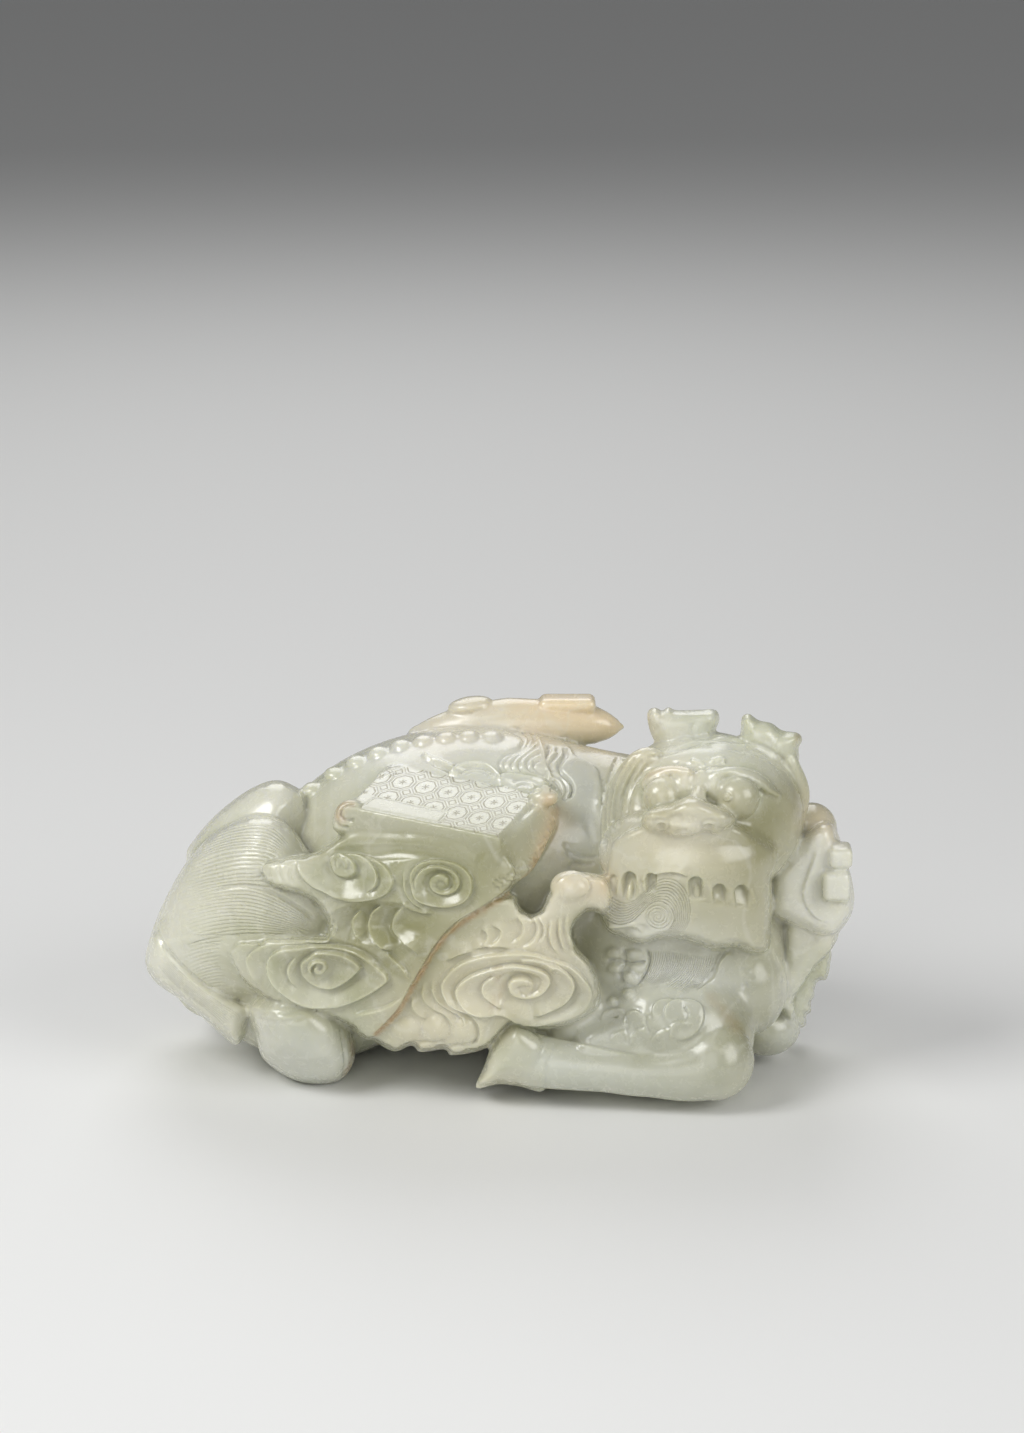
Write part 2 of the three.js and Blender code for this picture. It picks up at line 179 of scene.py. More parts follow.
def smooth_path(points: Sequence[Point], closed: bool = False, pitch: float = 4.0) -> np.ndarray:
    """Runs a smooth curve through drawn points.

    Args:
        points: The points, in order.
        closed: Whether the last point joins the first.
        pitch: The distance between the points of the result.

    Returns:
        Evenly spaced points of the curve, one a row.
    """
    knots = np.array(points, float)
    if closed:
        knots = np.vstack([knots[-1], knots, knots[0], knots[1]])
    else:
        knots = np.vstack([2 * knots[0] - knots[1], knots, 2 * knots[-1] - knots[-2]])
    pieces = []
    t = np.linspace(0, 1, 12, endpoint=False)[:, None]
    for a, b, c, d in zip(knots[:-3], knots[1:-2], knots[2:-1], knots[3:]):
        pieces.append(
            0.5 * (2 * b + (c - a) * t + (2 * a - 5 * b + 4 * c - d) * t**2 + (3 * b - a - 3 * c + d) * t**3)
        )
    dense = np.vstack([*pieces, knots[-2][None]])
    along = np.concatenate([[0], np.cumsum(np.linalg.norm(np.diff(dense, axis=0), axis=1))])
    count = max(3, round(along[-1] / pitch) + 1)
    even = np.linspace(0, along[-1], count)
    path = np.stack([np.interp(even, along, dense[:, k]) for k in range(dense.shape[1])], axis=1)
    return path[:-1] if closed else path


def nearest(points: np.ndarray, path: np.ndarray) -> tuple[np.ndarray, np.ndarray, np.ndarray]:
    """Measures points against a path in the drawing.

    Args:
        points: Points of the drawing, one a row.
        path: The path's points, one a row.

    Returns:
        The distance of each point from the path, the side it is on (1 on the right hand, as the path runs),
        and how far along the path its nearest point is, from 0 to 1.
    """
    start, step = path[:-1], np.diff(path, axis=0)
    length = np.linalg.norm(step, axis=1)
    so_far = np.concatenate([[0], np.cumsum(length)[:-1]])
    best = np.full(len(points), np.inf)
    side = np.zeros(len(points))
    along = np.zeros(len(points))
    for a, s, n, before in zip(start, step, length, so_far):
        off = points - a
        share = np.clip(off @ s / (n * n + 1e-12), 0, 1)
        gap = off - share[:, None] * s
        distance = np.hypot(gap[:, 0], gap[:, 1])
        closer = distance < best
        best[closer] = distance[closer]
        side[closer] = np.sign(s[0] * off[closer, 1] - s[1] * off[closer, 0])
        along[closer] = before + share[closer] * n
    return best, side, along / max(length.sum(), 1e-9)


def smooth_step(value: np.ndarray, low: float, high: float) -> np.ndarray:
    """Rises smoothly from 0 at low to 1 at high."""
    t = np.clip((value - low) / (high - low), 0, 1)
    return t * t * (3 - 2 * t)


def die_out(gap: np.ndarray, reach: float) -> np.ndarray:
    """Falls smoothly from 1 at a cut's edge to a fifth at its reach, and on to nothing."""
    return np.exp(-1.6 * (gap / reach) ** 1.5)


def read(items: Sequence, name: str, width: int = 3, kind: type = np.float32) -> np.ndarray:
    """Reads one property of all the points, edges, faces or corners of a mesh.

    Args:
        items: The points, edges, faces or corners.
        name: The property.
        width: How many numbers it holds.
        kind: The type of the numbers.

    Returns:
        The numbers, one item a row.
    """
    values = np.empty(len(items) * width, kind)
    items.foreach_get(name, values)
    return values.reshape(-1, width)


class Bench:
    """The moves that shape a piece by hand."""

    big_ball = 12  # radius above which a ball has finer faces, in millimetres

    @staticmethod
    def choose(*pieces: bpy.types.Object) -> None:
        """Selects some pieces and nothing else.

        Args:
            pieces: The pieces; the last one becomes the active one.
        """
        bpy.ops.object.select_all(action="DESELECT")
        for piece in pieces:
            piece.select_set(True)
            bpy.context.view_layer.objects.active = piece

    @staticmethod
    def settle() -> bpy.types.Object:
        """Writes the active piece's place, turn and scale into its mesh, and gives the piece."""
        piece = bpy.context.object
        Bench.choose(piece)
        bpy.ops.object.transform_apply(location=True, rotation=True, scale=True)
        return piece

    @staticmethod
    def finish_with(piece: bpy.types.Object, kind: str, **settings: object) -> None:
        """Adds a modifier to a piece and applies it.

        Args:
            piece: The piece.
            kind: The modifier's type.
            settings: The modifier's own settings.
        """
        Bench.choose(piece)
        modifier = piece.modifiers.new(kind.title(), kind)
        for name, value in settings.items():
            setattr(modifier, name, value)
        bpy.ops.object.modifier_apply(modifier=modifier.name)

    @staticmethod
    def ball(centre: Vector, radii: Place, lean: float = 0.0) -> bpy.types.Object:
        """Makes a ball or an egg.

        Args:
            centre: Its middle, in millimetres.
            radii: Its radii along X, Y and Z.
            lean: How far it leans about Y, in degrees.

        Returns:
            The piece.
        """
        bpy.ops.object.select_all(action="DESELECT")
        around = 64 if max(radii) > Bench.big_ball else 32
        bpy.ops.mesh.primitive_uv_sphere_add(
            segments=around,
            ring_count=around // 2,
            radius=MM,
            location=centre * MM,
            rotation=(0, math.radians(lean), 0),
            scale=radii,
        )
        return Bench.settle()

    @staticmethod
    def limb(points: Sequence[Vector], radii: Sequence[float]) -> list[bpy.types.Object]:
        """Makes a rounded limb through some points.

        Args:
            points: Its middle line, in millimetres.
            radii: Its radius at each point.

        Returns:
            The limb and the balls at its ends.
        """
        curve = bpy.data.curves.new("limb", "CURVE")
        curve.dimensions = "3D"
        curve.bevel_depth = MM
        curve.bevel_resolution = 12
        curve.use_fill_caps = True
        spline = curve.splines.new("BEZIER")
        spline.bezier_points.add(len(points) - 1)
        for knot, place, radius in zip(spline.bezier_points, points, radii):
            knot.co = place * MM
            knot.radius = radius
            knot.handle_left_type = knot.handle_right_type = "AUTO"
        piece = bpy.data.objects.new("limb", curve)
        bpy.context.collection.objects.link(piece)
        Bench.choose(piece)
        bpy.ops.object.convert(target="MESH")
        ends = [Bench.ball(points[i], (radii[i],) * 3) for i in (0, -1)]
        return [piece, *ends]

    @staticmethod
    def block(corner: Vector, edges: Sequence[Vector], round_by: float) -> bpy.types.Object:
        """Makes a block with rounded edges.

        Args:
            corner: One of its corners, in millimetres.
            edges: The three edges that leave the corner.
            round_by: The radius of its edges.

        Returns:
            The piece.
        """
        bpy.ops.object.select_all(action="DESELECT")
        bpy.ops.mesh.primitive_cube_add(size=1)
        piece = bpy.context.object
        for vertex in piece.data.vertices:
            share = [c + 0.5 for c in vertex.co]
            vertex.co = (corner + sum((e * s for e, s in zip(edges, share)), Vector())) * MM
        Bench.finish_with(piece, "BEVEL", width=round_by * MM, segments=3)
        return piece

    @staticmethod
    def sheet(front: np.ndarray, back: np.ndarray, faces: Sequence, rim: Sequence[int]) -> bpy.types.Object:
        """Makes a closed solid between a front and a back that have the same faces.

        Args:
            front: The front's points, in millimetres.
            back: The back's points.
            faces: The front's faces.
            rim: The front's edge, in order.

        Returns:
            The piece.
        """
        count = len(front)
        around = list(zip(rim, [*rim[1:], rim[0]]))
        solid = [tuple(face) for face in faces]
        solid += [tuple(i + count for i in reversed(face)) for face in faces]
        solid += [(b, a, a + count, b + count) for a, b in around]
        mesh = bpy.data.meshes.new("sheet")
        mesh.from_pydata((np.vstack([front, back]) * MM).tolist(), [], solid)
        piece = bpy.data.objects.new("sheet", mesh)
        bpy.context.collection.objects.link(piece)
        return piece

    @staticmethod
    def pillow(
        rim: Sequence[Point],
        depth: Depth,
        crown: float,
        edge: float,
        root: float,
        dome: float = 0.0,
        pitch: float = 4.0,
    ) -> bpy.types.Object:
        """Makes a swelling form with a drawn outline.

        Args:
            rim: The outline in the drawing.
            depth: The depth of its rim, or a function of the place in the drawing.
            crown: How far it stands before its rim once clear of the edge.
            edge: How wide its rounded edge is, in millimetres.
            root: How far it reaches back behind its rim.
            dome: How much further its middle stands out.
            pitch: The size of its faces in the drawing.

        Returns:
            The piece.
        """
        loop = smooth_path(rim, closed=True, pitch=pitch)
        low, high = loop.min(axis=0), loop.max(axis=0)
        grid = np.stack(
            np.meshgrid(np.arange(low[0], high[0], pitch), np.arange(low[1], high[1], pitch)), axis=-1
        ).reshape(-1, 2)
        closed_loop = np.vstack([loop, loop[0]])
        grid = grid[Bench.inside(grid, loop)]
        clear = nearest(grid, closed_loop)[0] > pitch * 0.6
        spots = np.vstack([loop, grid[clear]])
        ring = [(i, (i + 1) % len(loop)) for i in range(len(loop))]
        points, _, faces, source, _, _ = delaunay_2d_cdt(
            [Vector(p) for p in spots], ring, [list(range(len(loop)))], 1, 1e-4
        )
        places = np.array([tuple(p) for p in points])
        gap = nearest(places, closed_loop)[0] * DRAWING.pitch
        rounded = np.sqrt(np.clip(1 - (1 - np.clip(gap / edge, 0, 1)) ** 2, 0, 1))
        middle = 1 - (1 - gap / max(gap.max(), 1e-6)) ** 2
        across, down = places[:, 0], places[:, 1]
        base = depth(across, down) if callable(depth) else np.full(len(places), float(depth))
        front = DRAWING.at(across, down, base - crown * rounded - dome * middle)
        back = DRAWING.at(across, down, base + root * (0.6 + 0.4 * rounded))
        number = {old: new for new, olds in enumerate(source) for old in olds}
        rim_order = [number[i] for i in range(len(loop))]
        return Bench.sheet(front, back, faces, rim_order)

    @staticmethod
    def inside(points: np.ndarray, loop: np.ndarray) -> np.ndarray:
        """Tells which points lie inside a closed loop."""
        x, y = points[:, 0], points[:, 1]
        hit = np.zeros(len(points), bool)
        for (ax, ay), (bx, by) in zip(loop, np.roll(loop, -1, axis=0)):
            crosses = (ay > y) != (by > y)
            hit ^= crosses & (x < (bx - ax) * (y - ay) / (by - ay + 1e-12) + ax)
        return hit

    @staticmethod
    def fuse(pieces: Sequence[bpy.types.Object], name: str, grain: float, rub: int) -> bpy.types.Object:
        """Fuses pieces into one skin and rubs it smooth.

        Args:
            pieces: The pieces, which overlap.
            name: The name of the result.
            grain: The size of the skin's faces, in millimetres.
            rub: How many times it is smoothed.

        Returns:
            The one piece.
        """
        Bench.choose(*pieces)
        bpy.ops.object.join()
        whole = bpy.context.object
        whole.name = name
        Bench.finish_with(whole, "REMESH", mode="VOXEL", voxel_size=grain * MM)
        if rub:
            Bench.finish_with(whole, "SMOOTH", factor=0.5, iterations=rub)
        return whole


class Relief:
    """The carver's cuts on the side of the carving that a drawing shows.

    A cut pushes the skin in or out along its own normals. Cuts add up until the skin is pushed.
    """

    edge = 0.16  # half the width of a cut edge, in millimetres
    least_facing = 0.02  # how far the skin must turn to the eye to be cut at all
    facing_span = (0.04, 0.36)  # how far it must turn for a cut to begin and to be full
    cell = 3.0  # size of the squares of the drawing in which the nearest skin is sought
    slack = 2.6  # how far behind the nearest skin still shows, in millimetres
    pitch = 3.0  # distance between the points of a path in the drawing

    def __init__(self, piece: bpy.types.Object, drawing: Drawing) -> None:
        """Reads the skin and finds what of it the drawing shows.

        Args:
            piece: The carving.
            drawing: The drawing that the cuts are given in.
        """
        self.piece = piece
        self.drawing = drawing
        self.places = Skin.places(piece)
        self.normals = Skin.normals(piece)
        across, down, far = drawing.seen(self.places)
        sight = self.places - np.array(drawing.shift) - drawing.eye
        sight /= np.linalg.norm(sight, axis=1)[:, None]
        facing = -np.einsum("ij,ij->i", sight, self.normals)
        shown = self.uncovered(across, down, far) & (facing > self.least_facing)
        self.index = np.nonzero(shown)[0]
        self.drawn = np.stack([across, down], axis=1)[self.index]
        self.depth = self.places[self.index, 1] - drawing.shift[1]
        self.weight = smooth_step(facing[self.index], *self.facing_span)
        self.push = np.zeros(len(self.index))

    @staticmethod
    def uncovered(across: np.ndarray, down: np.ndarray, far: np.ndarray) -> np.ndarray:
        """Tells which points have nothing well before them in the drawing.

        Args:
            across: Distances across the drawing.
            down: Distances down.
            far: Distances from the eye.

        Returns:
            True for each point that shows.
        """
        columns = np.floor(across / Relief.cell).astype(int)
        rows = np.floor(down / Relief.cell).astype(int)
        columns -= columns.min()
        rows -= rows.min()
        keys = rows * (columns.max() + 1) + columns
        closest = np.full(keys.max() + 1, np.inf)
        np.minimum.at(closest, keys, far)
        return far < closest[keys] + Relief.slack

    def around(self, path: np.ndarray, reach: float, layer: tuple[float, float] | None) -> np.ndarray:
        """Finds the shown points near a path.

        Args:
            path: The path, one point a row.
            reach: How far from it to look, in millimetres.
            layer: The least and most depth of the skin that is cut, if it is only a layer.

        Returns:
            Their numbers among the shown points.
        """
        margin = reach / self.drawing.pitch
        low, high = path.min(axis=0) - margin, path.max(axis=0) + margin
        hit = np.all((self.drawn > low) & (self.drawn < high), axis=1)
        if layer is not None:
            hit &= (self.depth > layer[0]) & (self.depth < layer[1])
        return np.nonzero(hit)[0]

    def along(
        self,
        points: Sequence[Point],
        reach: float,
        shape: Callable[[np.ndarray, np.ndarray], np.ndarray],
        fade: float = 0.12,
        layer: tuple[float, float] | None = None,
    ) -> None:
        """Cuts along an open path.

        Args:
            points: Points of the path.
            reach: How far from the path the cut is felt, in millimetres.
            shape: The push at a distance from the path, on its right (1) or left (-1) hand.
            fade: The share of the path over which each end dies out.
            layer: The least and most depth of the skin that is cut.
        """
        path = smooth_path(points, pitch=self.pitch)
        near = self.around(path, reach, layer)
        if not len(near):
            return
        gap, side, share = nearest(self.drawn[near], path)
        push = shape(gap * self.drawing.pitch, side)
        if fade:
            push = push * smooth_step(share, 0, fade) * smooth_step(1 - share, 0, fade)
        self.push[near] += push * self.weight[near]

    def groove(
        self, points: Sequence[Point], depth: float, width: float, fade: float = 0.12, **more: Point
    ) -> None:
        """Cuts a groove of a depth and half width along a path, which dies out over a share of its ends."""
        reach = width * 2.5
        self.along(points, reach, lambda gap, side: -depth * np.exp(-((gap / width) ** 2)), fade, **more)

    def ridge(
        self, points: Sequence[Point], height: float, width: float, fade: float = 0.12, **more: Point
    ) -> None:
        """Leaves a ridge of a height and half width along a path."""
        self.groove(points, -height, width, fade, **more)

    def step(
        self,
        points: Sequence[Point],
        high: float,
        low: float,
        reach: float,
        fade: float = 0.15,
        **more: Point,
    ) -> None:
        """Cuts a step along a path: its right hand stands up and its left hand drops.

        Args:
            points: Points of the path.
            high: How far the right hand stands up at the step.
            low: How far the left hand drops at it.
            reach: How far from the step its height has mostly died out, in millimetres.
            fade: The share of the path over which each end dies out.
            more: The layer of the skin that is cut, if it is only a layer.
        """

        def shape(gap: np.ndarray, side: np.ndarray) -> np.ndarray:
            """Gives the push beside the step."""
            right = 0.5 + 0.5 * np.tanh(side * gap / self.edge)
            return (right * high - (1 - right) * low) * die_out(gap, reach)

        self.along(points, reach * 2, shape, fade, **more)

    def dish(
        self,
        loop: Sequence[Point],
        high: float,
        low: float,
        reach: float,
        outside: float | None = None,
        layer: tuple[float, float] | None = None,
    ) -> None:
        """Cuts round a closed outline: its inside stands up at the edge and its outside drops.

        Args:
            loop: The outline.
            high: How far the inside stands up at the edge.
            low: How far the outside drops at it.
            reach: How far inside the height has mostly died out, in millimetres, or 0 for a flat top.
            outside: How far outside the drop has mostly died out.
            layer: The least and most depth of the skin that is cut.
        """
        path = smooth_path(loop, closed=True, pitch=self.pitch)
        outside = outside or max(reach, 1.5)
        near = self.around(path, outside * 2, layer)
        if not len(near):
            return
        gap = nearest(self.drawn[near], np.vstack([path, path[0]]))[0] * self.drawing.pitch
        within = Bench.inside(self.drawn[near], path)
        right = 0.5 + 0.5 * np.tanh(np.where(within, gap, -gap) / self.edge)
        inner = die_out(gap, reach) if reach else 1.0
        outer = die_out(gap, outside)
        self.push[near] += (right * high * inner - (1 - right) * low * outer) * self.weight[near]

    def bump(
        self, centre: Point, radii: Point, height: float, power: float = 1.0, layer: Point | None = None
    ) -> None:
        """Raises a round boss, or sinks a pit.

        Args:
            centre: Its middle in the drawing.
            radii: Its radii in the drawing.
            height: How far it stands up, or below 0, how deep it is.
            power: 1 for a dome; less for a flatter top with steeper sides.
            layer: The least and most depth of the skin that is moved.
        """
        middle = np.array([centre], float)
        near = self.around(middle, max(radii) * self.drawing.pitch * 1.1, layer)
        off = self.drawn[near] - middle
        across = off[:, 0] / radii[0]
        down = off[:, 1] / radii[1]
        dome = np.clip(1 - across**2 - down**2, 0, 1) ** power
        self.push[near] += height * dome * self.weight[near]

    def notch(self, top: Point, width: float, length: float, depth: float) -> None:
        """Cuts an arched gap that is deepest at its top and runs out at its foot.

        Args:
            top: The top of the arch in the drawing.
            width: Its width in the drawing.
            length: How far down it runs.
            depth: Its depth at the top, in millimetres.
        """
        middle = np.array([top[0], top[1] + width / 2])
        near = self.around(np.array([middle - width, middle + (width, length)]), 0, None)
        off = self.drawn[near] - middle
        from_side = np.where(off[:, 1] < 0, np.hypot(off[:, 0], off[:, 1]), np.abs(off[:, 0]))
        clear = 0.5 + 0.5 * np.tanh((width / 2 - from_side) * self.drawing.pitch / self.edge)
        down = (off[:, 1] + width / 2) / length
        self.push[near] -= depth * clear * np.clip(1 - down, 0, 1) ** 0.8 * self.weight[near]

    def roughen(self, loop: Sequence[Point], height: float, size: float) -> None:
        """Leaves a place rough, as broken stone is.

        Args:
            loop: Its outline.
            height: How far it stands up and sinks.
            size: The size of its lumps in the drawing.
        """
        a, d = self.drawn.T / size
        lumps = np.sin(1.9 * a + 2.1 * np.sin(1.3 * d)) * np.sin(2.3 * d + 1.7 * np.sin(1.1 * a))
        chips = np.sin(4.3 * a + 3.1 * d) * np.sin(5.1 * d - 2.7 * a)
        self.push += height * (lumps + 0.5 * chips) * self.within(loop, 5.0) * self.weight

    def count_lines(
        self,
        guides: Sequence[Sequence[Point]],
        counts: Sequence[float],
        layer: Point | None = None,
        fade: Point = (0.14, 0.12),
    ) -> tuple[np.ndarray, np.ndarray, np.ndarray]:
        """Counts combed lines between guides that lie side by side.

        Args:
            guides: Paths that the lines follow.
            counts: How many lines lie between each guide and the next.
            layer: The least and most depth of the skin that is combed.
            fade: The shares of the lines over which they die out, at their start and end.

        Returns:
            The numbers of the shown points near the guides, the count of lines at each one, and how much
            each one is combed, from 0 to 1.
        """
        ways = [smooth_path(guide, pitch=self.pitch) for guide in guides]
        near = self.around(np.vstack(ways), 0.6, layer)
        drawn = self.drawn[near]
        gaps, sides, shares = zip(*(nearest(drawn, way) for way in ways))
        count = np.zeros(len(near))
        combed = np.zeros(len(near))
        so_far = 0.0
        for i, lines in enumerate(counts):
            whole = gaps[i] + gaps[i + 1] + 1e-6
            part = gaps[i] / whole
            between = (sides[i] != sides[i + 1]) | (np.minimum(gaps[i], gaps[i + 1]) < 0.4)
            free = between & (combed == 0)
            along = shares[i] * (1 - part) + shares[i + 1] * part
            clear = smooth_step(along, 0.01, fade[0]) * smooth_step(1 - along, 0.01, fade[1])
            count[free] = so_far + lines * part[free]
            combed[free] = np.maximum(clear[free], 1e-4)
            so_far += lines
        return near, count, combed

    def comb(
        self,
        guides: Sequence[Sequence[Point]],
        counts: Sequence[float],
        depth: float,
        layer: Point | None = None,
        fade: Point = (0.14, 0.12),
    ) -> None:
        """Combs fine grooves between guides.

        Args:
            guides: Paths, side by side, that the grooves follow.
            counts: How many grooves lie between each guide and the next.
            depth: The depth of a groove.
            layer: The least and most depth of the skin that is combed.
            fade: The shares of the lines over which they die out, at their start and end.
        """
        near, count, combed = self.count_lines(guides, counts, layer, fade)
        wave = (0.5 + 0.5 * np.cos(count * math.tau)) ** 1.5
        self.push[near] -= depth * wave * combed * self.weight[near] ** 2

    def beside(self, points: Sequence[Point], width: float) -> np.ndarray:
        """Weighs all points of the skin by how near the shown ones are to a path.

        Args:
            points: Points of the path.
            width: The distance at which the weight has mostly died out, in millimetres.

        Returns:
            A weight for each point of the skin.
        """
        path = smooth_path(points, pitch=4.0)
        near = self.around(path, width * 2.2, None)
        weight = np.zeros(len(self.places))
        gap = nearest(self.drawn[near], path)[0] * self.drawing.pitch
        weight[self.index[near]] = np.exp(-((gap / width) ** 2))
        return weight

    def within(self, loop: Sequence[Point], soft: float = 6.0) -> np.ndarray:
        """Weighs the shown points by how far they are inside an outline.

        Args:
            loop: The outline.
            soft: How far inside it the weight is full, in the drawing.

        Returns:
            A weight for each shown point, 0 outside the outline.
        """
        path = smooth_path(loop, closed=True)
        weight = np.zeros(len(self.index))
        near = self.around(path, 0, None)
        near = near[Bench.inside(self.drawn[near], path)]
        gap = nearest(self.drawn[near], np.vstack([path, path[0]]))[0]
        weight[near] = smooth_step(gap, 0, soft)
        return weight

    def refine(self, loops: Sequence[Sequence[Point]]) -> None:
        """Splits the skin's faces into finer ones where fine cuts go.

        Args:
            loops: The outlines of those places.
        """
        fine = np.zeros(len(self.places), bool)
        for loop in loops:
            fine[self.index[self.within(loop, 0.1) > 0]] = True
        mesh = self.piece.data
        corners = read(mesh.loops, "vertex_index", 1, np.int32).ravel()
        starts = read(mesh.polygons, "loop_start", 1, np.int32).ravel()
        chosen = np.logical_or.reduceat(fine[corners], starts)
        Bench.choose(self.piece)
        bpy.ops.object.mode_set(mode="EDIT")
        bpy.ops.mesh.select_all(action="DESELECT")
        bpy.ops.object.mode_set(mode="OBJECT")
        mesh.polygons.foreach_set("select", chosen)
        bpy.ops.object.mode_set(mode="EDIT")
        bpy.ops.mesh.subdivide(number_cuts=1, smoothness=0.0)
        bpy.ops.object.mode_set(mode="OBJECT")

    def rub(self, loop: Sequence[Point], times: int, soft: float = 8.0) -> None:
        """Rubs a place smooth.

        Args:
            loop: Its outline.
            times: How many times it is smoothed.
            soft: How far inside the outline the rubbing is full, in the drawing.
        """
        weight = self.within(loop, soft)
        group = self.piece.vertex_groups.new(name="rub")
        for level in range(1, 6):
            share = level / 5
            near = self.index[np.abs(weight - share) <= 0.1]
            group.add(near.tolist(), share, "REPLACE")
        Bench.finish_with(self.piece, "SMOOTH", factor=0.5, iterations=times, vertex_group="rub")
        self.piece.vertex_groups.remove(self.piece.vertex_groups["rub"])

    def press(self) -> None:
        """Pushes the skin by all the cuts so far, and forgets them."""
        moved = self.places.copy()
        moved[self.index] += self.normals[self.index] * self.push[:, None]
        self.piece.data.vertices.foreach_set("co", (moved * MM).astype(np.float32).ravel())
        self.piece.data.update()


def coil(centre: Point, radii: Point, turns: float, start: float, inner: float = 0.2) -> list[Point]:
    """Draws a spiral that winds inwards, clockwise.

    Args:
        centre: Its middle.
        radii: Its outer radii.
        turns: How many turns it makes.
        start: Where it starts, in degrees clockwise from the right.
        inner: Its innermost radius, as a share of its outer one.

    Returns:
        Its points.
    """
    count = max(6, round(turns * 10))
    points = []
    for i in range(count + 1):
        share = i / count
        turn = math.radians(start) + share * turns * math.tau
        size = 1 - (1 - inner) * share
        across = centre[0] + radii[0] * size * math.cos(turn)
        points.append((across, centre[1] + radii[1] * size * math.sin(turn)))
    return points


@dataclass(frozen=True)
class Egg:
    """A round swelling, placed behind a point of the drawing or, if it isn't drawn, by its millimetres."""

    middle: Place
    radii: Place
    lean: float = 0.0
    drawn: bool = True

    def build(self) -> list[bpy.types.Object]:
        """Builds the swelling."""
        place = at if self.drawn else spot
        return [Bench.ball(place(*self.middle), self.radii, lean=self.lean)]


@dataclass(frozen=True)
class Arm:
    """A rounded limb through points that are placed as the swellings are."""

    line: Sequence[Place]
    radii: Sequence[float]
    drawn: bool = True

    def build(self) -> list[bpy.types.Object]:
        """Builds the limb with the balls at its ends."""
        place = at if self.drawn else spot
        return Bench.limb([place(*point) for point in self.line], self.radii)


def build_all(forms: Sequence[Egg | Arm]) -> list[bpy.types.Object]:
    """Builds some swellings and limbs, in order."""
    return [piece for form in forms for piece in form.build()]


